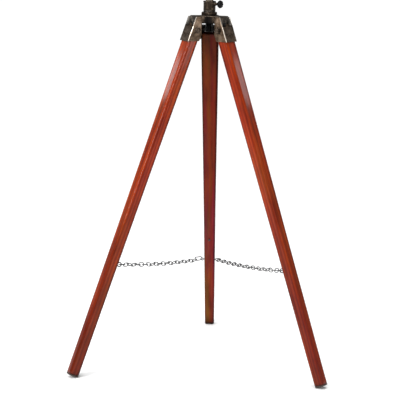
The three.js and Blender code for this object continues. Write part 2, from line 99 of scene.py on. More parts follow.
EYE_S_FRONT, EYE_S_BACK = 672.0, 765.0
LEGS = {"left": 210.0, "right": 330.0, "back": 90.0}


def lut(rows, s):
    if s <= rows[0][0]:
        return rows[0][1]
    for (a, va), (b, vb) in zip(rows, rows[1:]):
        if s <= b:
            return va + (vb - va) * (s - a) / (b - a)
    return rows[-1][1]


def leg_matrix(name):
    a = math.radians(LEGS[name])
    return (Matrix.Translation(AXIS) @ Matrix.Rotation(a, 4, "Z")
            @ Matrix.Translation((PIVOT_R / 1000, 0, PIVOT_Z / 1000)) @ Matrix.Rotation(-SPLAY, 4, "Y"))


HEAD = Matrix.Translation(AXIS) @ Matrix.Translation((0, 0, PIVOT_Z / 1000))


# ------------------------------------------------------------------ materials
def nodes_of(name):
    m = bpy.data.materials.new(name)
    m.use_nodes = True
    nt = m.node_tree
    nt.nodes.clear()
    out = nt.nodes.new("ShaderNodeOutputMaterial")
    bsdf = nt.nodes.new("ShaderNodeBsdfPrincipled")
    nt.links.new(bsdf.outputs[0], out.inputs[0])
    return m, nt, bsdf


def tex_coord(nt, scale=(1, 1, 1), offset=(0, 0, 0), rot=(0, 0, 0)):
    tc = nt.nodes.new("ShaderNodeTexCoord")
    mp = nt.nodes.new("ShaderNodeMapping")
    mp.inputs["Scale"].default_value = scale
    mp.inputs["Location"].default_value = offset
    mp.inputs["Rotation"].default_value = rot
    nt.links.new(tc.outputs["Object"], mp.inputs[0])
    return mp.outputs[0]


def noise_tex(nt, vec, scale, detail=4.0, rough=0.55, dist=0.0):
    n = nt.nodes.new("ShaderNodeTexNoise")
    n.inputs["Scale"].default_value = scale
    n.inputs["Detail"].default_value = detail
    n.inputs["Roughness"].default_value = rough
    n.inputs["Distortion"].default_value = dist
    nt.links.new(vec, n.inputs["Vector"])
    return n.outputs["Fac"]


def ramp(nt, fac, stops, interp="LINEAR"):
    r = nt.nodes.new("ShaderNodeValToRGB")
    r.color_ramp.interpolation = interp
    els = r.color_ramp.elements
    while len(els) < len(stops):
        els.new(0.5)
    for e, (p, c) in zip(els, stops):
        e.position = p
        e.color = (c, c, c, 1) if isinstance(c, (int, float)) else (*c, 1)
    nt.links.new(fac, r.inputs[0])
    return r.outputs["Color"]


def mixc(nt, fac, a, b, mode="MIX"):
    m = nt.nodes.new("ShaderNodeMix")
    m.data_type = "RGBA"
    m.blend_type = mode
    for sock, v in ((m.inputs[0], fac), (m.inputs[6], a), (m.inputs[7], b)):
        if isinstance(v, (int, float)):
            sock.default_value = v if sock == m.inputs[0] else (v, v, v, 1)
        elif isinstance(v, tuple):
            sock.default_value = (*v, 1)
        else:
            nt.links.new(v, sock)
    return m.outputs[2]


def maths(nt, op, a, b=None, c=None):
    m = nt.nodes.new("ShaderNodeMath")
    m.operation = op
    for i, v in enumerate((a, b, c)):
        if v is None:
            continue
        if isinstance(v, (int, float)):
            m.inputs[i].default_value = v
        else:
            nt.links.new(v, m.inputs[i])
    return m.outputs[0]


def bump(nt, bsdf, height, strength, distance=0.001, normal=None):
    b = nt.nodes.new("ShaderNodeBump")
    b.inputs["Strength"].default_value = strength
    b.inputs["Distance"].default_value = distance
    nt.links.new(height, b.inputs["Height"])
    if normal is not None:
        nt.links.new(normal, b.inputs["Normal"])
    if bsdf is not None:
        nt.links.new(b.outputs[0], bsdf.inputs["Normal"])
    return b.outputs[0]


def edge_wear_and_painted_light(nt, radius=0.0012, lo=0.02, hi=0.14):
    """0 on flats, 1 along convex edges, from the mesh's own curvature."""
    bev = nt.nodes.new("ShaderNodeBevel")
    bev.samples = 6
    bev.inputs["Radius"].default_value = radius
    geo = nt.nodes.new("ShaderNodeNewGeometry")
    dot = nt.nodes.new("ShaderNodeVectorMath")
    dot.operation = "DOT_PRODUCT"
    nt.links.new(bev.outputs[0], dot.inputs[0])
    nt.links.new(geo.outputs["Normal"], dot.inputs[1])
    inv = maths(nt, "SUBTRACT", 1.0, dot.outputs["Value"])
    return ramp(nt, inv, [(lo, 0.0), (hi, 1.0)])


def occlusion(nt, distance, lo, hi, floor=0.0):
    """1 in the open, falling to floor in notches and joints."""
    ao = nt.nodes.new("ShaderNodeAmbientOcclusion")
    ao.samples = 8
    ao.inputs["Distance"].default_value = distance
    return ramp(nt, ao.outputs["AO"], [(lo, floor), (hi, 1.0)])


def wood_material(name, phase, tone=1.0, olive=0.0, rim=0.78, varnish=0.25, turned="inner"):
    """Varnished mahogany: object z runs along the leg."""
    m, nt, bsdf = nodes_of(name)
    v = tex_coord(nt, (1, 1, 1), phase)
    # slow warp so that the figure wanders along the leg
    stretch = tex_coord(nt, (1.0, 1.0, 0.035), phase)
    warp = noise_tex(nt, stretch, 38, 3, 0.5)
    long1 = noise_tex(nt, tex_coord(nt, (1, 1, 0.03), phase), 120, 5, 0.6, 0.25)
    long2 = noise_tex(nt, tex_coord(nt, (1, 1, 0.018), phase), 420, 4, 0.62)
    pores = noise_tex(nt, tex_coord(nt, (1, 1, 0.05), phase), 1500, 2, 0.5)
    # growth figure: bands of distance from a tilted axis
    wv = nt.nodes.new("ShaderNodeTexWave")
    wv.wave_type = "RINGS"
    wv.rings_direction = "Z"
    wv.inputs["Scale"].default_value = 34
    wv.inputs["Distortion"].default_value = 5.5
    wv.inputs["Detail"].default_value = 3
    wv.inputs["Detail Scale"].default_value = 1.3
    nt.links.new(tex_coord(nt, (1, 1, 0.045), (phase[0] + 0.03, phase[1] - 0.02, phase[2])), wv.inputs["Vector"])
    figure = maths(nt, "MULTIPLY_ADD", wv.outputs["Fac"], 0.34, maths(nt, "MULTIPLY", long1, 0.66))
    k = lambda c: tuple(x * tone for x in c)
    base = ramp(nt, figure, [(0.18, k((0.085, 0.0060, 0.0018))), (0.40, k((0.190, 0.0150, 0.0030))), (0.60, k((0.310, 0.0300, 0.0045))), (0.82, k((0.450, 0.0600, 0.0080)))])
    fine = ramp(nt, long2, [(0.30, 0.50), (0.52, 1.0), (0.75, 1.12)])
    base = mixc(nt, 0.55, base, mixc(nt, 1.0, base, fine, "MULTIPLY"))
    # broad red and olive-brown drifts from the stain
    drift = noise_tex(nt, tex_coord(nt, (1, 1, 0.16), (phase[0] * 2, phase[1], phase[2] + 0.7)), 26, 2, 0.5)
    if olive:
        # stronger wine-red and olive streaks side by side
        streak = noise_tex(nt, tex_coord(nt, (1, 1, 0.05), (phase[1], phase[2], phase[0])), 62, 2, 0.5)
        hue = ramp(nt, streak, [(0.34, (0.115, 0.006, 0.014)), (0.47, (0.130, 0.017, 0.004)), (0.60, (0.085, 0.036, 0.004)), (0.72, (0.120, 0.014, 0.003))])
        base = mixc(nt, olive, base, hue)
    tint = ramp(nt, drift, [(0.30, k((0.26, 0.007, 0.006))), (0.52, k((0.32, 0.030, 0.004))), (0.74, k((0.24, 0.052 + 0.05 * olive, 0.006)))])
    base = mixc(nt, 0.36, base, tint)
    pore_mask = ramp(nt, pores, [(0.30, 1.0), (0.40, 0.0)])
    base = mixc(nt, maths(nt, "MULTIPLY", pore_mask, 0.45), base, (0.020, 0.004, 0.002))
    # painted shade on the rounded long edges and at the ends
    edge = edge_wear_and_painted_light(nt, 0.0065, 0.003, 0.06)
    base = mixc(nt, maths(nt, "MULTIPLY", edge, rim), base, (0.010, 0.0025, 0.002))
    # painted shade where other parts come close: at the bracket, the eyes and the floor
    base = mixc(nt, 1.0, base, occlusion(nt, 0.05, 0.25, 0.80, 0.25), "MULTIPLY")
    # colour changes along the leg: on the front legs warm and bright below the bracket, browner and darker towards the
    # foot; on the back leg painted shade darkens the top, below the head
    own = nt.nodes.new("ShaderNodeSeparateXYZ")
    oc = nt.nodes.new("ShaderNodeTexCoord")
    nt.links.new(oc.outputs["Object"], own.inputs[0])
    ox, oy, oz = own.outputs["X"], own.outputs["Y"], own.outputs["Z"]
    down = maths(nt, "MULTIPLY", oz, -1.0)
    if olive:
        run = ramp(nt, down, [(0.03, (0.62, 0.60, 0.60)), (0.16, (0.90, 0.88, 0.85)), (0.45, (1.00, 1.10, 1.1)), (0.66, (1.16, 1.50, 2.3)), (0.97, (1.32, 1.62, 3.0))])
    else:
        run = ramp(nt, down, [(0.08, (1.24, 1.16, 0.7)), (0.30, (1.34, 1.30, 0.7)), (0.52, (1.10, 1.06, 0.8)), (0.74, (0.88, 0.84, 0.9)), (0.97, (0.76, 0.76, 0.9))])
    base = mixc(nt, 1.0, base, run, "MULTIPLY")
    # cloudy stain, a hand's breadth long
    cloudy = noise_tex(nt, tex_coord(nt, (1, 1, 0.22), (phase[2], phase[0], phase[1])), 42, 3, 0.55)
    base = mixc(nt, 1.0, base, ramp(nt, cloudy, [(0.32, (0.66, 0.58, 0.62)), (0.48, (0.98, 0.98, 0.98)), (0.66, (1.16, 1.26, 0.95))]), "MULTIPLY")
    # painted shade along the arrises that are turned away from the lights
    half = maths(nt, "MULTIPLY_ADD", oz, 0.010, 0.0241)
    if olive:
        rim_at = maths(nt, "SUBTRACT", maths(nt, "ABSOLUTE", oy), half)
        arris_shade = ramp(nt, maths(nt, "MULTIPLY_ADD", rim_at, 20.0, 0.5), [(0.36, 0.0), (0.46, 1.0)])
        # olive-brown on one half of the inner face, wine-red on the other
        across = ramp(nt, maths(nt, "MULTIPLY_ADD", oy, 20.0, 0.5), [(0.28, (1.10, 0.66, 1.5)), (0.44, (1.12, 0.82, 1.1)), (0.58, (0.94, 1.32, 0.9)), (0.72, (1.10, 1.26, 1.5))])
        base = mixc(nt, 1.0, base, across, "MULTIPLY")
        arris_shade = maths(nt, "MULTIPLY", arris_shade, ramp(nt, down, [(0.12, 0.92), (0.50, 0.55), (0.92, 0.30)]))
    elif turned == "outer":
        rim_at = maths(nt, "SUBTRACT", oy, half)
        arris_shade = ramp(nt, maths(nt, "MULTIPLY_ADD", rim_at, 20.0, 0.5), [(0.33, 0.0), (0.44, 0.93)])
    else:
        arris_shade = ramp(nt, maths(nt, "MULTIPLY_ADD", ox, 20.0, 0.5), [(0.245, 0.85), (0.33, 0.0)])
    base = mixc(nt, arris_shade, base, (0.013, 0.0016, 0.0012))
    # painted shade on the top of the wood, inside the bracket
    base = mixc(nt, ramp(nt, maths(nt, "MULTIPLY_ADD", oz, 10.0, 0.5), [(0.42, 0.0), (0.50, 0.93)]), base, (0.006, 0.003, 0.002))
    nt.links.new(base, bsdf.inputs["Base Color"])
    rough = ramp(nt, noise_tex(nt, v, 55, 4, 0.6), [(0.3, 0.26), (0.7, 0.40)])
    rough = mixc(nt, maths(nt, "MULTIPLY", pore_mask, 0.3), rough, 0.62)
    nt.links.new(rough, bsdf.inputs["Roughness"])
    bsdf.inputs["IOR"].default_value = 1.12
    bsdf.inputs["Specular IOR Level"].default_value = 0.5
    bsdf.inputs["Coat Weight"].default_value = varnish
    bsdf.inputs["Coat Roughness"].default_value = 0.10
    # specular and coat are turned down along the arrises with painted shade
    bare = maths(nt, "MULTIPLY_ADD", arris_shade, -0.92, 1.0)
    nt.links.new(maths(nt, "MULTIPLY", bare, 0.5), bsdf.inputs["Specular IOR Level"])
    nt.links.new(maths(nt, "MULTIPLY", bare, varnish), bsdf.inputs["Coat Weight"])
    h = maths(nt, "MULTIPLY_ADD", long2, 0.7, maths(nt, "MULTIPLY", pores, 0.5))
    n1 = bump(nt, None, warp, 0.25, 0.0008)
    bump(nt, bsdf, h, 0.22, 0.00025, n1)
    return m


def metal_material(name, dark, mid, light, rough=(0.30, 0.55), metallic=0.92, wear_and_highlight=0.7, cast=0.35, patina_and_shade=0.04, bend=0.0011, rubbed_edge_highlight=None, notch=False, blotch=60, reach=0.030, corner=None):
    """Antiqued bronze: dark patina deepened into painted shade in the lows, rubbed lighter metal with a painted
    highlight on the edges.
    """
    m, nt, bsdf = nodes_of(name)
    v = tex_coord(nt)
    cloud = noise_tex(nt, v, blotch, 5, 0.6, 0.3)
    spots = noise_tex(nt, v, 420, 3, 0.6)
    base = ramp(nt, cloud, [(0.30, dark), (0.52, mid), (0.74, light)])
    speck = ramp(nt, spots, [(0.32, 0.45), (0.48, 1.0)])
    base = mixc(nt, 0.5, base, mixc(nt, 1.0, base, speck, "MULTIPLY"))
    # rubbed edges, lightened both as wear and as a painted highlight
    if wear_and_highlight:
        edge = edge_wear_and_painted_light(nt, bend, 0.015, 0.16)
        breakup = ramp(nt, noise_tex(nt, v, 260, 3, 0.6), [(0.36, 0.25), (0.62, 1.0)])
        rub_and_highlight = maths(nt, "MULTIPLY", maths(nt, "MULTIPLY", edge, breakup), wear_and_highlight)
        base = mixc(nt, rub_and_highlight, base, rubbed_edge_highlight or tuple(min(1.0, c * 2.3 + 0.05) for c in light))
    # dark patina in the notches and joints, deepened into painted shade
    base = mixc(nt, 1.0, base, occlusion(nt, reach, 0.30, 0.86, patina_and_shade), "MULTIPLY")
    if corner:
        # painted highlight along the folded corners of the sheet: |y| + x is largest along the fold
        sp = nt.nodes.new("ShaderNodeSeparateXYZ")
        to = nt.nodes.new("ShaderNodeTexCoord")
        nt.links.new(to.outputs["Object"], sp.inputs[0])
        both = maths(nt, "ADD", sp.outputs["X"], maths(nt, "ABSOLUTE", sp.outputs["Y"]))
        fold_highlight = ramp(nt, maths(nt, "MULTIPLY", both, 10.0), [((corner - 2.3) / 100, 0.0), ((corner - 1.8) / 100, 1.0)])
        patchy = ramp(nt, noise_tex(nt, v, 190, 3, 0.6), [(0.30, 0.45), (0.55, 1.0)])
        under = ramp(nt, maths(nt, "MULTIPLY", sp.outputs["Z"], 10.0), [(0.0500, 1.0), (0.0560, 0.25)])
        base = mixc(nt, maths(nt, "MULTIPLY", maths(nt, "MULTIPLY", fold_highlight, patchy), under), base, (0.90, 0.80, 0.69))
        # painted light on the inner faces of the two ears, next to their front edges
        inside = ramp(nt, maths(nt, "MULTIPLY", maths(nt, "ABSOLUTE", sp.outputs["Y"]), 10.0), [(0.250, 1.0), (0.256, 0.0)])
        ahead = ramp(nt, maths(nt, "MULTIPLY", sp.outputs["X"], 10.0), [(0.070, 0.0), (0.125, 1.0)])
        above = ramp(nt, maths(nt, "MULTIPLY", sp.outputs["Z"], 10.0), [(0.080, 0.0), (0.105, 1.0)])
        lit_ear_faces = maths(nt, "MULTIPLY", maths(nt, "MULTIPLY", inside, ahead), above)
        base = mixc(nt, maths(nt, "MULTIPLY", lit_ear_faces, 0.85), base, (0.93, 0.88, 0.80))
    if notch:
        # painted shade, near black, on the upright walls close to the hub's axis, below the socket
        sep = nt.nodes.new("ShaderNodeSeparateXYZ")
        tc = nt.nodes.new("ShaderNodeTexCoord")
        nt.links.new(tc.outputs["Object"], sep.inputs[0])
        flat = nt.nodes.new("ShaderNodeCombineXYZ")
        nt.links.new(sep.outputs["X"], flat.inputs["X"])
        nt.links.new(sep.outputs["Y"], flat.inputs["Y"])
        ln = nt.nodes.new("ShaderNodeVectorMath")
        ln.operation = "LENGTH"
        nt.links.new(flat.outputs[0], ln.inputs[0])
        near = ramp(nt, maths(nt, "MULTIPLY", ln.outputs["Value"], 10.0), [(0.325, 1.0), (0.385, 0.0)])
        low = ramp(nt, maths(nt, "MULTIPLY", sep.outputs["Z"], 10.0), [(0.352, 1.0), (0.372, 0.0)])
        base = mixc(nt, maths(nt, "MULTIPLY", maths(nt, "MULTIPLY", near, low), 0.94), base, (0.0035, 0.0028, 0.0026))
        # the socket above the plate is toned down; painted shade darkens the three arm ends, and painted shadow, near
        # black, covers everything below the plate
        tall = ramp(nt, maths(nt, "MULTIPLY", sep.outputs["Z"], 10.0), [(0.388, 1.0), (0.410, 0.58)])
        arm_end_shade = ramp(nt, maths(nt, "MULTIPLY", ln.outputs["Value"], 10.0), [(0.430, 1.0), (0.470, 0.50)])
        shadow_below_plate = ramp(nt, maths(nt, "MULTIPLY", sep.outputs["Z"], 10.0), [(0.185, 0.08), (0.235, 1.0)])
        base = mixc(nt, 1.0, base, maths(nt, "MULTIPLY", maths(nt, "MULTIPLY", tall, arm_end_shade), shadow_below_plate), "MULTIPLY")
    nt.links.new(base, bsdf.inputs["Base Color"])
    bsdf.inputs["Metallic"].default_value = metallic
    r = ramp(nt, noise_tex(nt, v, 130, 4, 0.6), [(0.3, rough[0]), (0.72, rough[1])])
    nt.links.new(r, bsdf.inputs["Roughness"])
    h = maths(nt, "MULTIPLY_ADD", noise_tex(nt, v, 900, 2, 0.5), 0.6, maths(nt, "MULTIPLY", cloud, 0.8))
    bump(nt, bsdf, h, cast, 0.0003)
    return m


def knob_material():
    m, nt, bsdf = nodes_of("knob_black")
    v = tex_coord(nt)
    n = noise_tex(nt, v, 180, 4, 0.6)
    nt.links.new(ramp(nt, n, [(0.3, (0.0015, 0.0015, 0.002)), (0.7, (0.006, 0.006, 0.007))]), bsdf.inputs["Base Color"])
    nt.links.new(ramp(nt, n, [(0.3, 0.26), (0.75, 0.42)]), bsdf.inputs["Roughness"])
    bsdf.inputs["Specular IOR Level"].default_value = 0.06
    bsdf.inputs["Coat Weight"].default_value = 0.03
    bsdf.inputs["Coat Roughness"].default_value = 0.12
    bump(nt, bsdf, noise_tex(nt, v, 700, 2, 0.5), 0.15, 0.0002)
    return m


def rubber_material():
    m, nt, bsdf = nodes_of("foot_rubber")
    v = tex_coord(nt)
    n = noise_tex(nt, v, 240, 5, 0.65)
    nt.links.new(ramp(nt, n, [(0.3, (0.020, 0.012, 0.008)), (0.72, (0.062, 0.038, 0.027))]), bsdf.inputs["Base Color"])
    nt.links.new(ramp(nt, n, [(0.3, 0.62), (0.7, 0.85)]), bsdf.inputs["Roughness"])
    bump(nt, bsdf, noise_tex(nt, v, 900, 3, 0.6), 0.4, 0.0003)
    return m


def wire_material(name="steel_wire", base=((0.016, 0.017, 0.019), (0.055, 0.058, 0.062), (0.14, 0.145, 0.15)), rough=(0.28, 0.5)):
    m, nt, bsdf = nodes_of(name)
    v = tex_coord(nt)
    n = noise_tex(nt, v, 220, 4, 0.6)
    nt.links.new(ramp(nt, n, [(0.3, base[0]), (0.5, base[1]), (0.74, base[2])]), bsdf.inputs["Base Color"])
    bsdf.inputs["Metallic"].default_value = 0.95
    nt.links.new(ramp(nt, noise_tex(nt, v, 500, 3, 0.6), [(0.3, rough[0]), (0.7, rough[1])]), bsdf.inputs["Roughness"])
    bump(nt, bsdf, noise_tex(nt, v, 1400, 2, 0.5), 0.2, 0.0002)
    return m


WOOD = {"left": wood_material("mahogany_left", (0.31, 0.12, 0.4), 0.60),
        "right": wood_material("mahogany_right", (0.83, 0.47, 1.9), 0.62, turned="outer"),
        "back": wood_material("mahogany_back", (1.37, 0.91, 3.3), 0.42, 0.6, 0.85, 0.06)}
CAST = metal_material("cast_bronze", (0.010, 0.007, 0.005), (0.050, 0.034, 0.022), (0.190, 0.140, 0.100), wear_and_highlight=0.85, rubbed_edge_highlight=(0.62, 0.53, 0.44), notch=True, blotch=95)
BRACKET = metal_material("bracket_bronze", (0.034, 0.022, 0.013), (0.110, 0.074, 0.048), (0.215, 0.155, 0.112), rough=(0.26, 0.46), wear_and_highlight=0.35, cast=0.18, rubbed_edge_highlight=(0.45, 0.37, 0.29), reach=0.011, patina_and_shade=0.12, corner=BR_IN_N + BR_IN_T + 2 * SHEET)
FIXING = metal_material("bronze_fixings", (0.026, 0.018, 0.013), (0.070, 0.050, 0.036), (0.150, 0.112, 0.080), rough=(0.26, 0.45), cast=0.12)
POSTM = metal_material("post_bronze", (0.120, 0.100, 0.074), (0.220, 0.185, 0.140), (0.330, 0.285, 0.225), rough=(0.22, 0.40), wear_and_highlight=0.4, cast=0.10)
KNOB = knob_material()
RUBBER = rubber_material()
WIRE = wire_material()
HOOKM = wire_material("hook_wire", ((0.008, 0.008, 0.009), (0.025, 0.027, 0.03), (0.07, 0.073, 0.076)))


# ------------------------------------------------------------------ mesh helpers (mm in, metres out)
def make(name, verts, faces, material, matrix, angle=32):
    me = bpy.data.meshes.new(name)
    me.from_pydata([(x / 1000, y / 1000, z / 1000) for x, y, z in verts], [], faces)
    bm = bmesh.new()
    bm.from_mesh(me)
    bmesh.ops.recalc_face_normals(bm, faces=bm.faces)
    bm.to_mesh(me)
    bm.free()
    me.validate()
    o = bpy.data.objects.new(name, me)
    bpy.context.scene.collection.objects.link(o)
    o.matrix_world = matrix
    if material:
        me.materials.append(material)
    shade(o, angle)
    return o


def shade(o, angle=32):
    for p in o.data.polygons:
        p.use_smooth = True
    if angle is not None:
        o.data.set_sharp_from_angle(angle=math.radians(angle))


def lathe(profile, seg=64):
    """Revolve [(radius, height)] about +Z. A zero radius closes the form; a closed ring profile repeats its first point."""
    verts, faces, rings = [], [], []
    closed = profile[0] == profile[-1]
    pts = profile[:-1] if closed else profile
    for r, z in pts:
        if r < 1e-6:
            rings.append([len(verts)])
            verts.append((0, 0, z))
        else:
            ring = []
            for k in range(seg):
                a = 2 * math.pi * k / seg
                ring.append(len(verts))
                verts.append((r * math.cos(a), r * math.sin(a), z))
            rings.append(ring)
    pairs = list(zip(rings, rings[1:])) + ([(rings[-1], rings[0])] if closed else [])
    for a, b in pairs:
        for k in range(seg):
            j = (k + 1) % seg
            if len(a) == 1 and len(b) == 1:
                continue
            if len(a) == 1:
                faces.append((a[0], b[k], b[j]))
            elif len(b) == 1:
                faces.append((a[k], a[j], b[0]))
            else:
                faces.append((a[k], a[j], b[j], b[k]))
    if not closed:
        for ring in (rings[0], rings[-1]):
            if len(ring) > 1:
                faces.append(tuple(ring))
    return verts, faces


def round_poly(points, radii, seg=8):
    out, n = [], len(points)
    for i in range(n):
        p = Vector(points[i])
        a = (Vector(points[i - 1]) - p).normalized()
        b = (Vector(points[(i + 1) % n]) - p).normalized()
        r = radii[i]
        if not r:
            out.append(tuple(p))
            continue
        half = math.acos(max(-1, min(1, a.dot(b)))) / 2
        t = r / math.tan(half)
        p0, p1 = p + a * t, p + b * t
        c = p + (a + b).normalized() * (r / math.sin(half))
        a0 = math.atan2(p0.y - c.y, p0.x - c.x)
        a1 = math.atan2(p1.y - c.y, p1.x - c.x)
        while a1 - a0 > math.pi:
            a1 -= 2 * math.pi
        while a1 - a0 < -math.pi:
            a1 += 2 * math.pi
        for k in range(seg + 1):
            q = a0 + (a1 - a0) * k / seg
            out.append((c.x + r * math.cos(q), c.y + r * math.sin(q)))
    return out


def prism(outline, z0, z1):
    n = len(outline)
    verts = [(x, y, z0) for x, y in outline] + [(x, y, z1) for x, y in outline]
    faces = [tuple(range(n)), tuple(range(n, 2 * n))]
    faces += [(i, (i + 1) % n, n + (i + 1) % n, n + i) for i in range(n)]
    return verts, faces


def xf(geo, m):
    v, f = geo
    return [tuple(m @ Vector(p)) for p in v], f


def rod(r, a, b, seg=40):
    a, b = Vector(a), Vector(b)
    q = (b - a).to_track_quat("Z", "Y").to_matrix().to_4x4()
    v, f = lathe([(r, 0), (r, (b - a).length)], seg)
    return xf((v, f), Matrix.Translation(a) @ q)


def block(x0, x1, y0, y1, z0, z1):
    v, f = prism([(x0, y0), (x1, y0), (x1, y1), (x0, y1)], z0, z1)
    return v, f


def boolean(o, geo, op, solver="EXACT"):
    t = make(o.name + "_cutter", geo[0], geo[1], None, o.matrix_world, None)
    md = o.modifiers.new("b", "BOOLEAN")
    md.operation = op
    md.solver = solver
    md.object = t
    bpy.context.view_layer.update()
    dg = bpy.context.evaluated_depsgraph_get()
    me = bpy.data.meshes.new_from_object(o.evaluated_get(dg))
    o.modifiers.clear()
    old = o.data
    o.data = me
    bpy.data.meshes.remove(old)
    tm = t.data
    bpy.data.objects.remove(t)
    bpy.data.meshes.remove(tm)
    return o


def bevel(o, width, segments=2, angle=30, sharp=32):
    """Rounds the hard edges and bakes the result into the mesh."""
    bm = bmesh.new()
    bm.from_mesh(o.data)
    bmesh.ops.remove_doubles(bm, verts=bm.verts, dist=2e-6)
    bmesh.ops.dissolve_limit(bm, angle_limit=math.radians(1.0), verts=bm.verts, edges=bm.edges)
    bm.to_mesh(o.data)
    bm.free()
    md = o.modifiers.new("bev", "BEVEL")
    md.width = width / 1000
    md.segments = segments
    md.limit_method = "ANGLE"
    md.angle_limit = math.radians(angle)
    md.use_clamp_overlap = True
    md.miter_outer = "MITER_ARC"
    bpy.context.view_layer.update()
    dg = bpy.context.evaluated_depsgraph_get()
    me = bpy.data.meshes.new_from_object(o.evaluated_get(dg))
    o.modifiers.clear()
    old = o.data
    o.data = me
    bpy.data.meshes.remove(old)
    shade(o, sharp)
    return o


def sweep(path, radius, sides=14, closed=False, start_up=None):
    """Round wire along a list of points; radius is a number or a function of the share of the length."""
    P = [Vector(p) for p in path]
    n = len(P)
    T = []
    for i in range(n):
        if closed:
            T.append((P[(i + 1) % n] - P[i - 1]).normalized())
        else:
            T.append((P[min(i + 1, n - 1)] - P[max(i - 1, 0)]).normalized())
    u = Vector(start_up) if start_up else (Vector((0, 0, 1)) if abs(T[0].z) < 0.9 else Vector((1, 0, 0)))
    u = (u - T[0] * u.dot(T[0])).normalized()
    U = [u]
    for i in range(1, n):
        q = T[i - 1].rotation_difference(T[i])
        w = q @ U[-1]
        U.append((w - T[i] * w.dot(T[i])).normalized())
    twist = 0.0
    if closed:
        w = T[-1].rotation_difference(T[0]) @ U[-1]
        twist = math.atan2(T[0].dot(w.cross(U[0])), w.dot(U[0]))
    verts, faces = [], []
    for i in range(n):
        B = T[i].cross(U[i])
        r = radius(i / (n - 1)) if callable(radius) else radius
        tw = twist * i / n
        for k in range(sides):
            a = 2 * math.pi * k / sides + tw
            verts.append(tuple(P[i] + (U[i] * math.cos(a) + B * math.sin(a)) * r))
    rings = n if closed else n - 1
    for i in range(rings):
        j = (i + 1) % n
        for k in range(sides):
            l = (k + 1) % sides
            faces.append((i * sides + k, i * sides + l, j * sides + l, j * sides + k))
    if not closed:
        faces.append(tuple(range(sides)))
        faces.append(tuple((n - 1) * sides + k for k in range(sides)))
    return verts, faces


def smooth_path(points, per=8):
    """Centripetal-like Catmull-Rom through the points."""
    P = [Vector(p) for p in points]
    P = [2 * P[0] - P[1]] + P + [2 * P[-1] - P[-2]]
    out = []
    for i in range(1, len(P) - 2):
        for k in range(per):
            t = k / per
            a, b, c, d = P[i - 1], P[i], P[i + 1], P[i + 2]
            out.append(0.5 * ((2 * b) + (c - a) * t + (2 * a - 5 * b + 4 * c - d) * t * t + (3 * b - a - 3 * c + d) * t ** 3))
    out.append(P[-2])
    return out


def join(parts):
    verts, faces = [], []
    for v, f in parts:
        k = len(verts)
        verts += v
        faces += [tuple(i + k for i in q) for q in f]
    return verts, faces


def finish_piece(o, body, nodes):
    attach(o, body)
    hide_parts(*nodes)
    return o


# ------------------------------------------------------------------ head
def build_hub():
    pts, radii = [], []
    for deg in (90, 210, 330):
        A = math.radians(deg)
        at = lambda r, t: (r * math.cos(A) - t * math.sin(A), r * math.sin(A) + t * math.cos(A))
        pts += [at(ARM_R, -ARM_HALF), at(ARM_R, ARM_HALF)]
        radii += [2.2, 2.2]
        N, q = A + math.pi / 3, ARM_HALF / math.sin(math.pi / 3)
        pts.append((q * math.cos(N), q * math.sin(N)))
        radii.append(FILLET)
    outline = round_poly(pts, radii, 14)
    o = make("hub_cast_body", *prism(outline, HUB_LOW, HUB_TOP), CAST, HEAD)
    for deg in (90, 210, 330):
        rz = Matrix.Rotation(math.radians(deg), 4, "Z")
        web_out = round_poly([(PIVOT_R - 6.5, -9), (PIVOT_R + 2.4, -9), (PIVOT_R + 2.4, 9), (PIVOT_R - 6.5, 9)], [2] * 4, 5)
        boolean(o, xf(prism(web_out, -4, HUB_LOW + 3), rz), "UNION")
        boolean(o, xf(rod(8, (PIVOT_R, -23.8, 0), (PIVOT_R, 23.8, 0), 48), rz), "UNION")
    for deg in (90, 210, 330):
        rz = Matrix.Rotation(math.radians(deg), 4, "Z")
        boolean(o, xf(rod(4.3, (PIVOT_R, -30, 0), (PIVOT_R, 30, 0), 36), rz), "DIFFERENCE")
    # tapered boss under the plate, cast with shallow ribs
    rows, seg = [(-6.0, 0.0), (-6.0, 10.4), (-5.7, 11.2), (-4.8, 11.9), (-2.0, 11.8), (5.0, 10.7), (12.0, 9.7), (HUB_LOW + 3, 10.2), (HUB_LOW + 3, 0.0)], 72
    verts, faces = [], []
    for z, r in rows[1:-1]:
        for i in range(seg):
            a = 2 * math.pi * i / seg
            k = r - (1.0 * (0.5 + 0.5 * math.cos(6 * a + math.pi)) ** 2.2 if z < HUB_LOW else 0)
            verts.append((k * math.cos(a), k * math.sin(a), z))
    for j in range(len(rows) - 3):
        for i in range(seg):
            l = (i + 1) % seg
            faces.append((j * seg + i, j * seg + l, (j + 1) * seg + l, (j + 1) * seg + i))
    faces += [tuple(reversed(range(seg))), tuple((len(rows) - 3) * seg + i for i in range(seg))]
    boolean(o, (verts, faces), "UNION")
    boolean(o, rod(POST_R + GAP, (0, 0, POST_FLOOR), (0, 0, 60), 56), "DIFFERENCE")
    boolean(o, rod(13.5 + GAP, (0, 0, HUB_TOP - 10.6), (0, 0, 60), 56), "DIFFERENCE")
    boolean(o, rod(3.5, (0, 0, -12), (0, 0, 60), 28), "DIFFERENCE")
    bevel(o, 1.0, 3)
    finish_piece(o, "head", ["hub_casting"])


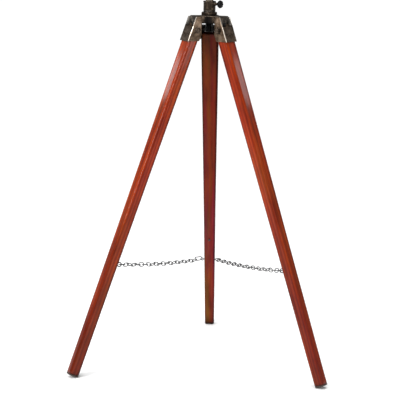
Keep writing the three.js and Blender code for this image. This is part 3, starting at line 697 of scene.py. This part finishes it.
def build_socket():
    b, z0, top, low = POST_R + GAP, HUB_TOP - 10.3, SOCKET_TOP, HUB_TOP + GAP
    prof = [(b, z0 + 0.5), (b + 0.5, z0), (13.2, z0), (13.5, z0 + 0.4), (13.5, low), (SOCKET_R - 0.1, low), (SOCKET_R, low + 0.2)]
    # fine thread that the collar runs on, then the plain barrel and a rolled rim
    z, t = low + 9.9, 0
    while z < low + 13.4:
        prof += [(SOCKET_R, z), (SOCKET_R - 0.32, z + 0.35)]
        z += 0.7
    prof += [(SOCKET_R - 0.32, z), (SOCKET_R, z + 0.4), (SOCKET_R, top - 4.6), (SOCKET_R - 0.25, top - 4.3), (SOCKET_R + 0.35, top - 3.8),
             (SOCKET_R + 0.7, top - 3.2), (SOCKET_R + 0.7, top - 1.0), (SOCKET_R + 0.45, top - 0.35), (SOCKET_R - 0.1, top), (b + 0.7, top),
             (b + 0.15, top - 0.3), (b, top - 0.8), (b, z0 + 0.5)]
    o = make("socket_tube", *lathe(prof, 96), CAST, HEAD)
    a = math.radians(330)
    d = Vector((math.cos(a), math.sin(a), 0))
    p = lambda r: tuple(d * r + Vector((0, 0, CLAMP_Z)))
    q = d.to_track_quat("Z", "Y").to_matrix().to_4x4()
    boss = lathe([(0, 13.5), (6.6, 13.5), (6.6, 15.8), (5.9, 16.9), (5.4, 17.6), (5.2, 18.4), (5.2, 19.2), (4.9, 19.6), (0, 19.6)], 40)
    boolean(o, xf(boss, Matrix.Translation((0, 0, CLAMP_Z)) @ q), "UNION")
    boolean(o, rod(b, (0, 0, z0 + 2), (0, 0, top - 2), 96), "DIFFERENCE")
    boolean(o, rod(3.3, p(4), p(24), 28), "DIFFERENCE")
    shade(o, 28)
    finish_piece(o, "head", ["post_socket"])


def build_collar():
    AF, T = 41.5, 9.4
    Rr = AF / 2 / math.cos(math.pi / 6)
    z0, z1 = HUB_TOP + GAP, HUB_TOP + GAP + T
    hexo = [(Rr * math.cos(-math.pi / 2 + i * math.pi / 3), Rr * math.sin(-math.pi / 2 + i * math.pi / 3)) for i in range(6)]
    o = make("lock_collar_hex", *prism(hexo, z0, z1), CAST, HEAD)
    cone = lathe([(0, z0), (Rr - 2.2, z0), (Rr + 0.2, z0 + 1.5), (Rr + 0.2, z1 - 2.4), (Rr - 3.6, z1), (0, z1)], 96)
    boolean(o, cone, "INTERSECT")
    boolean(o, rod(SOCKET_R + GAP, (0, 0, z0 - 5), (0, 0, z1 + 5), 96), "DIFFERENCE")
    bevel(o, 0.35, 2, 20)
    finish_piece(o, "head", ["lock_collar"])


def build_post():
    f, t, r = POST_FLOOR + GAP, POST_TOP, POST_R
    prof = [(0, f), (r - 1.0, f), (r - 0.3, f + 0.3), (r, f + 1.0), (r, t - 1.3), (r - 0.25, t - 0.6), (r - 0.7, t - 0.18), (r - 1.3, t),
            (3.2, t), (2.6, t - 0.5), (0, t - 1.4)]
    o = make("mount_post_bar", *lathe(prof, 80), POSTM, HEAD)
    finish_piece(o, "post", ["mount_post"])


def clamp_matrix():
    a = math.radians(330)
    q = Vector((math.cos(a), math.sin(a), 0)).to_track_quat("Z", "Y").to_matrix().to_4x4()
    return HEAD @ Matrix.Translation((0, 0, CLAMP_Z / 1000)) @ q


def build_clamp():
    M = clamp_matrix()
    z = POST_R + GAP
    prof = [(0, z), (1.9, z), (2.5, z + 0.5), (3.0, z + 1.2)]
    s = z + 1.2
    while s < 19.4:                                     # cut thread inside the boss
        prof += [(3.0, s + 0.25), (2.65, s + 0.6), (3.0, s + 0.95)]
        s += 0.95
    prof += [(3.0, 20.2), (4.0, 20.4), (4.2, 20.8), (4.2, 22.2), (4.0, 22.6), (3.2, 22.9), (3.0, 23.4), (3.0, 36.4), (2.8, 36.6), (0, 36.6)]
    o = make("clamp_shank", *lathe(prof, 40), FIXING, M)
    finish_piece(o, "clamp", ["clamp_screw"])
    # fluted knob: rounded rim, domed face, hub towards the socket
    seg, flutes = 128, 8
    rows = [(3.3, 36.9, 0), (3.3, KNOB_IN - 3.7, 0), (3.6, KNOB_IN - 4.0, 0), (4.7, KNOB_IN - 4.0, 0), (5.0, KNOB_IN - 3.6, 0), (5.2, KNOB_IN - 0.9, 0), (5.8, KNOB_IN - 0.1, 0.1),
            (7.6, KNOB_IN, 0.5), (KNOB_R - 1.0, KNOB_IN + 0.35, 0.9), (KNOB_R - 0.35, KNOB_IN + 1.1, 1), (KNOB_R, KNOB_IN + 2.0, 1), (KNOB_R, KNOB_OUT - 3.2, 1), (KNOB_R - 0.35, KNOB_OUT - 2.1, 1),
            (KNOB_R - 1.0, KNOB_OUT - 1.3, 0.8), (KNOB_R - 2.2, KNOB_OUT - 0.75, 0.4), (6.6, KNOB_OUT - 0.7, 0.1), (6.1, KNOB_OUT - 0.95, 0), (5.6, KNOB_OUT - 0.95, 0), (5.0, KNOB_OUT - 0.4, 0), (3.4, KNOB_OUT - 0.1, 0), (1.6, KNOB_OUT, 0)]
    verts, faces = [], []
    for r, zz, k in rows:
        for i in range(seg):
            a = 2 * math.pi * i / seg
            w = (1 - math.cos(a * flutes)) / 2
            rr = r - k * 1.25 * w ** 1.6
            verts.append((rr * math.cos(a), rr * math.sin(a), zz))
    for j in range(len(rows) - 1):
        for i in range(seg):
            l = (i + 1) % seg
            faces.append((j * seg + i, j * seg + l, (j + 1) * seg + l, (j + 1) * seg + i))
    faces.append(tuple(range(seg)))
    faces.append(tuple((len(rows) - 1) * seg + i for i in range(seg)))
    k = make("clamp_knob_fluted", verts, faces, KNOB, M, 50)
    finish_piece(k, "clamp", ["clamp_knob"])


# ------------------------------------------------------------------ legs
def to_leg(Rr, Z):
    return (Rr * CA + Z * SA, -Rr * SA + Z * CA)


def build_wood(name):
    q = 9                                             # steps in each rounded corner
    flat = 7                                          # steps along each flat
    s0, s1 = 10.5, LEG_LEN - PAD_T - GAP
    stations = [(s0, 2.2), (s0 + 0.25, 1.2), (s0 + 0.8, 0.45), (s0 + 1.8, 0.0)]
    s = s0 + 8
    while s < s1 - 8:
        stations.append((s, 0.0))
        s += 8
    stations += [(s1 - 1.6, 0.0), (s1 - 0.7, 0.35), (s1 - 0.2, 0.9), (s1, 1.6)]
    sx, sy = (1, -1, -1, 1), (1, 1, -1, -1)
    seed = {"left": 1.3, "right": 4.1, "back": 7.7}[name]
    verts, faces = [], []
    count = None
    for s, inset in stations:
        hw, hd = lut(WOOD_W, s) / 2 - inset, lut(WOOD_D, s) / 2 - inset
        # hand-planed unevenness, a few hundredths of a millimetre
        wob = 0.10 * math.sin(s * 0.013 + seed) + 0.07 * math.sin(s * 0.031 + 2 * seed)
        r = WOOD_R - 0.2
        ring = []
        for c in range(4):
            for k in range(q + 1):
                a = (c + k / q) * math.pi / 2
                ring.append((sx[c] * (hd - r) + r * math.cos(a), sy[c] * (hw - r) + r * math.sin(a)))
            nx, ny = ring[-1]
            c2 = (c + 1) % 4
            a2 = c2 * math.pi / 2
            ex, ey = sx[c2] * (hd - r) + r * math.cos(a2), sy[c2] * (hw - r) + r * math.sin(a2)
            for k in range(1, flat):
                f = k / flat
                crown = 0.22 * 4 * f * (1 - f)        # a slight crown for the flats, inside the CAD's section, computed but not applied
                ring.append((nx + (ex - nx) * f, ny + (ey - ny) * f))
        count = len(ring)
        for x, y in ring:
            verts.append((x * (1 - 0.004) + wob * 0.3, y * (1 - 0.003) + wob * 0.3, -s))
    n = len(stations)
    for j in range(n - 1):
        for i in range(count):
            l = (i + 1) % count
            faces.append((j * count + i, j * count + l, (j + 1) * count + l, (j + 1) * count + i))
    faces.append(tuple(range(count)))
    faces.append(tuple((n - 1) * count + i for i in range(count)))
    o = make(f"leg_wood_{name}", verts, faces, WOOD[name], leg_matrix(name), 50)
    finish_piece(o, f"leg_{name}", [f"leg_{name}"])


def build_bracket(name):
    xo, yo = BR_IN_N + SHEET, BR_IN_T + SHEET
    u = round_poly([(-30, -yo), (xo, -yo), (xo, yo), (-30, yo), (-30, BR_IN_T), (BR_IN_N, BR_IN_T), (BR_IN_N, -BR_IN_T), (-30, -BR_IN_T)],
                   [0, 2.9, 2.9, 0, 0, 0.5, 0.5, 0], 7)
    o = make(f"bracket_sheet_{name}", *prism(u, -55, 45), BRACKET, leg_matrix(name))
    line = lambda Z, n: (n * CA - (Z - n * SA) / CA * SA, Z)
    inner = -14.3
    RZ = [line(BR_BOTTOM, inner), line(BR_BOTTOM, xo + 2), line(BR_CHEEK_TOP, xo + 2), (-11.8, BR_CHEEK_TOP), (-11.8, -12)]
    RZ[2] = line(BR_CHEEK_TOP, xo)
    prof = round_poly([to_leg(a, b) for a, b in RZ], [1.5, 0, 3.2, 5.5, 4], 9)
    v, f = prism(prof, -40, 40)
    v = [(x, -z, y) for x, y, z in v]                # profile plane becomes leg x-z, extruded along leg y
    boolean(o, (v, f), "INTERSECT")
    cx, cz = to_leg(0, BR_PLATE_TOP)
    cut = xf(block(-60, 60, -BR_IN_T, BR_IN_T, 0, 60), Matrix.Translation((cx, 0, cz)) @ Matrix.Rotation(SPLAY, 4, "Y"))
    boolean(o, cut, "DIFFERENCE")
    boolean(o, rod(4.3, (0, -40, 0), (0, 40, 0), 36), "DIFFERENCE")
    for y in (-14, 14):
        boolean(o, rod(1.9, (0, y, -17), (30, y, -17), 20), "DIFFERENCE")
    bevel(o, 0.55, 2, 35)
    finish_piece(o, f"leg_{name}", [f"bracket_{name}"])


def slot_cut(o, width, depth_z0, depth_z1, length, cross=False):
    boolean(o, block(-length, length, -width / 2, width / 2, depth_z0, depth_z1), "DIFFERENCE")
    if cross:
        boolean(o, block(-width / 2, width / 2, -length, length, depth_z0, depth_z1), "DIFFERENCE")


def build_fixings(name):
    L = leg_matrix(name)
    body = f"leg_{name}"
    yo = BR_IN_T + SHEET
    h0 = yo + GAP + 1.2 + GAP
    plus = L @ Matrix.Rotation(-math.pi / 2, 4, "X")     # local +Z becomes leg +y
    minus = L @ Matrix.Rotation(math.pi / 2, 4, "X")
    head = [(7.0 * math.cos(a), h0 + 0.6 + 3.0 * math.sin(a)) for a in [i / 8 * math.pi / 2 for i in range(9)]]
    head[-1] = (0, h0 + 3.6)
    prof = [(0, -h0 - 8.2), (3.0, -h0 - 8.2), (3.6, -h0 - 7.7)]
    s = -h0 - 7.5
    while s < -h0 - 0.5:
        prof += [(4.0, s + 0.3), (3.6, s + 0.7)]
        s += 0.8
    prof += [(4.0, -h0 + 0.4), (4.0, h0), (6.8, h0), (7.0, h0 + 0.25)] + head
    o = make(f"pivot_bolt_domed_{name}", *lathe(prof, 44), FIXING, plus)
    finish_piece(o, body, [f"pivot_bolt_{name}"])
    for side, m in (("a", plus), ("b", minus)):
        z = yo + GAP
        w = lathe([(4.3, z + 0.15), (4.45, z), (7.9, z), (8.2, z + 0.25), (8.2, z + 0.95), (7.9, z + 1.2), (4.45, z + 1.2), (4.3, z + 1.05), (4.3, z + 0.15)], 44)
        o = make(f"pivot_washer_ring_{name}_{side}", *w, FIXING, m)
        finish_piece(o, body, [f"pivot_washer_{name}_{side}"])
    hexo = [(7.5 * math.cos(i * math.pi / 3), 7.5 * math.sin(i * math.pi / 3)) for i in range(6)]
    o = make(f"pivot_nut_hex_{name}", *prism(hexo, h0, h0 + 6.4), FIXING, minus)
    boolean(o, lathe([(0, h0), (6.7, h0), (7.6, h0 + 0.7), (7.6, h0 + 5.0), (6.0, h0 + 6.4), (0, h0 + 6.4)], 48), "INTERSECT")
    boolean(o, rod(4.3, (0, 0, h0 - 4), (0, 0, h0 + 12), 36), "DIFFERENCE")
    bevel(o, 0.25, 2, 20)
    finish_piece(o, body, [f"pivot_nut_{name}"])
    for side, y in (("a", -14), ("b", 14)):
        f = BR_IN_N + SHEET + GAP
        dome = [(3.2 * math.cos(a), f + 0.5 + 1.5 * math.sin(a)) for a in [i / 6 * math.pi / 2 for i in range(7)]]
        dome[-1] = (0, f + 2.0)
        prof = [(0, 0), (0.9, 1.2), (1.5, 3.0)]
        s = 3.0
        while s < f - 3:
            prof += [(1.5, s + 0.3), (1.1, s + 0.8), (1.5, s + 1.2)]
            s += 1.2
        prof += [(1.5, f), (3.1, f), (3.2, f + 0.2)] + dome
        o = make(f"bracket_screw_head_{name}_{side}", *lathe(prof, 28), FIXING, L @ Matrix.Translation((0, y / 1000, -0.017)) @ Matrix.Rotation(math.pi / 2, 4, "Y") @ Matrix.Rotation(0.5 if side == "a" else -0.9, 4, "Z"))
        slot_cut(o, 0.8, f + 1.1, f + 4, 5)
        shade(o, 35)
        finish_piece(o, body, [f"bracket_screw_{name}_{side}"])


def build_foot(name):
    L = leg_matrix(name)
    hn, hw, r = 14.95, 14.45, 7.8
    rows = [(-LEG_LEN, 0.9), (-LEG_LEN + 0.25, 0.35), (-LEG_LEN + 0.8, 0.02), (-LEG_LEN + PAD_T - 0.8, 0.02), (-LEG_LEN + PAD_T - 0.25, 0.25), (-LEG_LEN + PAD_T, 0.8)]
    verts, faces, n = [], [], None
    for z, ins in rows:
        out = round_poly([(-hn + ins, -hw + ins), (hn - ins, -hw + ins), (hn - ins, hw - ins), (-hn + ins, hw - ins)], [r - ins] * 4, 10)
        n = len(out)
        verts += [(x, y, z) for x, y in out]
    for j in range(len(rows) - 1):
        for i in range(n):
            l = (i + 1) % n
            faces.append((j * n + i, j * n + l, (j + 1) * n + l, (j + 1) * n + i))
    faces.append(tuple(range(n)))
    faces.append(tuple((len(rows) - 1) * n + i for i in range(n)))
    o = make(f"foot_pad_moulded_{name}", verts, faces, RUBBER, L, 40)
    boolean(o, rod(1.5, (0, 0, -LEG_LEN - 5), (0, 0, -LEG_LEN + 10), 24), "DIFFERENCE")
    boolean(o, rod(3.5, (0, 0, -LEG_LEN - 5), (0, 0, -LEG_LEN + 1.7), 32), "DIFFERENCE")
    for k in (-2, -1, 1, 2):                          # shallow tread grooves under the pad
        boolean(o, block(-20, 20, k * 4.6 - 0.5, k * 4.6 + 0.5, -LEG_LEN - 2, -LEG_LEN + 0.6), "DIFFERENCE")
    shade(o, 40)
    finish_piece(o, f"leg_{name}", [f"foot_pad_{name}"])
    z = -LEG_LEN
    nail = lathe([(0, z + 0.4), (1.6, z + 0.5), (2.6, z + 0.68), (3.1, z + 0.95), (3.1, z + 1.4), (1.3, z + 1.4), (1.2, z + 1.6), (1.2, z + 14), (0, z + 17)], 28)
    o = make(f"foot_nail_head_{name}", *nail, WIRE, L)
    finish_piece(o, f"leg_{name}", [f"foot_nail_{name}"])


def build_eye(key, leg, spec, centre, d, turn=0.0):
    """Bent-wire screw eye: shank, then one turn of wire that ends just short of the neck."""
    ring, wire, stand = spec["ring"], spec["wire"], spec["stand"]
    dv = Vector(d)
    x = Matrix.Rotation(turn, 3, dv) @ Vector((0, 0, 1))
    y = dv.cross(x)
    path = []
    for k in range(14):                               # shank, rising from the wood
        path.append((0, 0, -stand - 12 + (stand + 12 - ring - 1.8) * k / 13))
    a0, a1 = -math.pi / 2, -math.pi / 2 + math.radians(332)
    for k in range(41):
        a = a0 + (a1 - a0) * k / 40
        lift = 0.0 if k > 3 else 0.5 * (3 - k) / 3 * 0
        path.append((ring * math.cos(a), lift, ring * math.sin(a)))
    pts = smooth_path(path, 2)
    total = len(pts)
    def rad(f):
        i = f * (total - 1)
        if i < 22:                                    # threaded part inside the wood
            return wire * (0.55 + 0.45 * min(1, i / 6)) * (0.9 + 0.1 * math.cos(i * 2.2))
        if i > total - 3:
            return wire * 0.82
        return wire * 0.985
    geo = sweep(pts, rad, 16, start_up=(0, 1, 0))
    B = Matrix((x, y, dv)).transposed().to_4x4()
    M = leg_matrix(leg) @ Matrix.Translation(Vector(centre) / 1000) @ B
    o = make(f"screw_eye_{key}", *geo, WIRE, M, 60)
    finish_piece(o, f"leg_{leg}", [f"chain_eye_{key}"])


def build_stow():
    f = lut(WOOD_D, 683) / 2 + GAP
    dome = [(3.0 * math.cos(a), f + 4.6 + 1.4 * math.sin(a)) for a in [i / 6 * math.pi / 2 for i in range(7)]]
    dome[-1] = (0, f + 6.0)
    prof = [(0, f - 8), (0.8, f - 7.4), (1.2, f - 6.5)]
    s = f - 6.5
    while s < f - 0.6:
        prof += [(1.2, s + 0.25), (0.85, s + 0.6), (1.2, s + 0.9)]
        s += 0.9
    prof += [(1.2, f + 4.2), (2.9, f + 4.2), (3.0, f + 4.4)] + dome
    o = make("stow_screw_head", *lathe(prof, 28), WIRE, leg_matrix("back") @ Matrix.Translation((0, 0, -0.683)) @ Matrix.Rotation(-math.pi / 2, 4, "Y"))
    slot_cut(o, 0.8, f + 5.1, f + 9, 5)
    shade(o, 35)
    finish_piece(o, "leg_back", ["stow_screw"])


# ------------------------------------------------------------------ chains
SAG, MEET = 6.0, 0.5943
HOOK_LEN, HOOK_HALF = 43.0, 5.1
LINK_LEN, LINK_W, LINK_WIRE = 26.2, 13.8, 1.15          # outer length, outer width, wire radius


def eye_world(key):
    if key in ("left", "right"):
        n = -(lut(WOOD_D, EYE_S_FRONT) / 2 + EYE_FRONT["stand"])
        return leg_matrix(key) @ (Vector((n, 0, -EYE_S_FRONT)) / 1000)
    t = lut(WOOD_W, EYE_S_BACK) / 2 + EYE_BACK["stand"]
    return leg_matrix("back") @ (Vector((0, t if key == "back_left" else -t, -EYE_S_BACK)) / 1000)


def link_geo(twist=0.0):
    """One link in its own frame: long axis x, width y. The two ends are turned against each other by twist."""
    hl, hw = LINK_LEN / 2 - LINK_WIRE, LINK_W / 2 - LINK_WIRE
    pts = []
    n = 40
    for i in range(n):
        a = 2 * math.pi * i / n
        c, s = math.cos(a), math.sin(a)
        # rounded stadium from a superellipse
        x = hl * math.copysign(abs(c) ** 0.82, c)
        y = hw * math.copysign(abs(s) ** 0.62, s)
        t = twist * x / hl / 2
        pts.append((x, y * math.cos(t), y * math.sin(t)))
    return sweep(pts, LINK_WIRE, 12, closed=True)


def build_chain(side):
    a, b = eye_world(side) * 1000, eye_world(f"back_{side}") * 1000
    L = (b - a).length
    at = lambda f: a.lerp(b, f) + Vector((0, 0, -4 * SAG * f * (1 - f)))
    N = 400
    table, acc = [(0.0, 0.0)], 0.0
    for i in range(1, N + 1):
        acc += (at(i / N) - at((i - 1) / N)).length
        table.append((acc, i / N))
    total = acc

    def on(s):
        for (s0, f0), (s1, f1) in zip(table, table[1:]):
            if s <= s1:
                return at(f0 + (f1 - f0) * (s - s0) / (s1 - s0))
        return at(1.0)

    # the first link hooks the front eye's ring, the last one the back eye or the hook
    wire_in = EYE_FRONT["ring"] - EYE_FRONT["wire"] - LINK_WIRE - 0.35
    s_first = wire_in + LINK_LEN / 2 - LINK_WIRE
    if side == "left":
        s_last = total - (HOOK_LEN + 1.3) + 2.6 - (LINK_LEN / 2 - LINK_WIRE) + 2.0
    else:
        s_last = total - (EYE_BACK["ring"] - EYE_BACK["wire"] - LINK_WIRE - 0.35) - (LINK_LEN / 2 - LINK_WIRE)
    want = LINK_LEN - 4 * LINK_WIRE - 0.35
    count = int(round((s_last - s_first) / want)) + 1
    pitch = (s_last - s_first) / (count - 1)
    meet_s = MEET * total
    crng = random.Random(11 if side == "left" else 23)
    front, back = [], []
    roll = 0.0
    for i in range(count):
        s = s_first + i * pitch
        p0, p1 = on(max(0, s - 9)), on(min(total, s + 9))
        c = on(s)
        t = (p1 - p0).normalized()
        up_ = Vector((0, 0, 1))
        w = (up_ - t * up_.dot(t)).normalized()         # upright width direction
        h = t.cross(w)
        # neighbours stand about a quarter turn apart, with a slow drift of twist along the run
        # beyond the meeting point they lie at plus and minus 45 degrees, which clears the back leg when folded
        near = min(1.0, max(0.0, (s - meet_s + 110) / 100))
        drift = (1 - near) * 0.55 * math.sin(i * 0.55 + (0.4 if side == "left" else 1.7)) - near * math.pi / 4
        roll = (i % 2) * math.pi / 2 + drift + crng.uniform(-0.16, 0.16) * (1 - 0.6 * near) + (math.pi / 2)
        if i == 0:
            roll = math.pi / 2
        y = w * math.cos(roll) + h * math.sin(roll)
        z = t.cross(y)
        B = Matrix((t, y, z)).transposed().to_4x4()
        jitter = Vector((0, 0, crng.uniform(-0.25, 0.25))) * (0.0 if i == 0 else 1.0)
        M = Matrix.Translation(c + jitter) @ B
        geo = xf(link_geo(crng.uniform(-0.25, 0.25)), M)
        (front if s < meet_s else back).append(geo)
    leg = f"chain_{side}_front"
    o = make(f"chain_links_front_{side}", *join(front), WIRE, Matrix.Identity(4), 60)
    finish_piece(o, leg, [f"chain_front_{side}"])
    o = make(f"chain_links_back_{side}", *join(back), WIRE, Matrix.Identity(4), 60)
    finish_piece(o, f"chain_{side}_back", [f"chain_back_{side}"])
    if side == "left":
        v = (at(1 - 0.06) - b).normalized()
        n = (leg_matrix("back").to_3x3() @ Vector((math.cos(EYE_BACK_TURN), 0, -math.sin(EYE_BACK_TURN)))).normalized()
        rho = (v - n * v.dot(n)).normalized()
        q = n.cross(rho).cross(v).normalized()
        w0 = b + rho * EYE_BACK["ring"] - v * 0.6
        h, e = HOOK_HALF, HOOK_LEN - 4
        pts = [(6.5, h), (3, h + 0.2), (0, h - 0.4), (-2.6, 2.6), (-3.5, 0), (-2.6, -2.6), (0, -h + 0.4), (5, -h), (e * 0.5, -h), (e - 5, -h),
               (e - 1.2, -h * 0.7), (e, 0), (e - 1.2, h * 0.7), (e - 5, h), (e * 0.5, h), (14, h), (10.5, h)]
        path = smooth_path([w0 + v * x + q * y for x, y in pts], 6)
        def rad(f):
            return 1.2 * min(1.0, 0.72 + 8 * min(f, 1 - f))
        o = make("chain_hook_wire", *sweep(path, rad, 14), HOOKM, Matrix.Identity(4), 60)
        finish_piece(o, "chain_left_back", ["chain_hook"])


build_hub()
build_socket()
build_collar()
build_post()
build_clamp()
for leg_name in LEGS:
    build_wood(leg_name)
    build_bracket(leg_name)
    build_fixings(leg_name)
    build_foot(leg_name)
for key in ("left", "right"):
    nn = -(lut(WOOD_D, EYE_S_FRONT) / 2 + EYE_FRONT["stand"])
    build_eye(key, key, EYE_FRONT, (nn, 0, -EYE_S_FRONT), (-1, 0, 0))
tt = lut(WOOD_W, EYE_S_BACK) / 2 + EYE_BACK["stand"]
build_eye("back_left", "back", EYE_BACK, (0, tt, -EYE_S_BACK), (0, 1, 0), EYE_BACK_TURN)
build_eye("back_right", "back", EYE_BACK, (0, -tt, -EYE_S_BACK), (0, -1, 0), -EYE_BACK_TURN)
build_stow()
build_chain("left")
build_chain("right")


# ------------------------------------------------------------------ stage: pale floor, soft light
def build_stage():
    m, nt, bsdf = nodes_of("studio_floor")
    bsdf.inputs["Base Color"].default_value = (0.93, 0.93, 0.93, 1)
    bsdf.inputs["Roughness"].default_value = 0.9
    bsdf.inputs["Specular IOR Level"].default_value = 0.1
    s = 400.0
    me = bpy.data.meshes.new("studio_floor")
    me.from_pydata([(-s, -s, 0), (s, -s, 0), (s, s, 0), (-s, s, 0)], [], [(0, 1, 2, 3)])
    me.materials.append(m)
    o = bpy.data.objects.new("studio_floor", me)
    o.location.z = -0.0005
    bpy.context.scene.collection.objects.link(o)


def area_light(name, pos, target, size, power, colour=(1, 1, 1)):
    ld = bpy.data.lights.new(name, "AREA")
    ld.shape = "RECTANGLE"
    ld.size, ld.size_y = size
    ld.energy = power
    ld.color = colour
    lo = bpy.data.objects.new(name, ld)
    bpy.context.scene.collection.objects.link(lo)
    lo.location = pos
    d = Vector(target) - Vector(pos)
    lo.rotation_euler = d.to_track_quat("-Z", "Y").to_euler()


build_stage()
world = bpy.data.worlds.new("studio")
bpy.context.scene.world = world
world.use_nodes = True
bg = world.node_tree.nodes["Background"]
bg.inputs[0].default_value = (1.0, 1.0, 1.0, 1)
bg.inputs[1].default_value = 0.22
bpy.context.scene.view_settings.view_transform = "Standard"
bpy.context.scene.view_settings.look = "None"


def sun(name, direction, strength, angle, colour=(1, 1, 1)):
    ld = bpy.data.lights.new(name, "SUN")
    ld.energy = strength
    ld.angle = math.radians(angle)
    ld.color = colour
    lo = bpy.data.objects.new(name, ld)
    bpy.context.scene.collection.objects.link(lo)
    lo.rotation_euler = Vector(direction).to_track_quat("-Z", "Y").to_euler()


sun("overhead", (0.12, 0.10, -1.0), 3.0, 70)
area_light("key_left", (-2.6, -2.6, 2.2), (0, 0, 0.7), (1.0, 1.6), 85)
area_light("fill_right", (2.9, -2.4, 1.3), (0, 0, 0.5), (0.8, 1.8), 22)
area_light("front", (-0.5, -4.6, 2.5), (0, 0, 0.6), (1.2, 0.8), 60)
area_light("rim_left", (-3.15, 2.16, 1.60), (0, 0, 0.8), (0.22, 0.24), 1.3)
area_light("rim_right", (2.85, 1.49, 1.71), (0, 0, 0.8), (0.20, 0.24), 1.1)
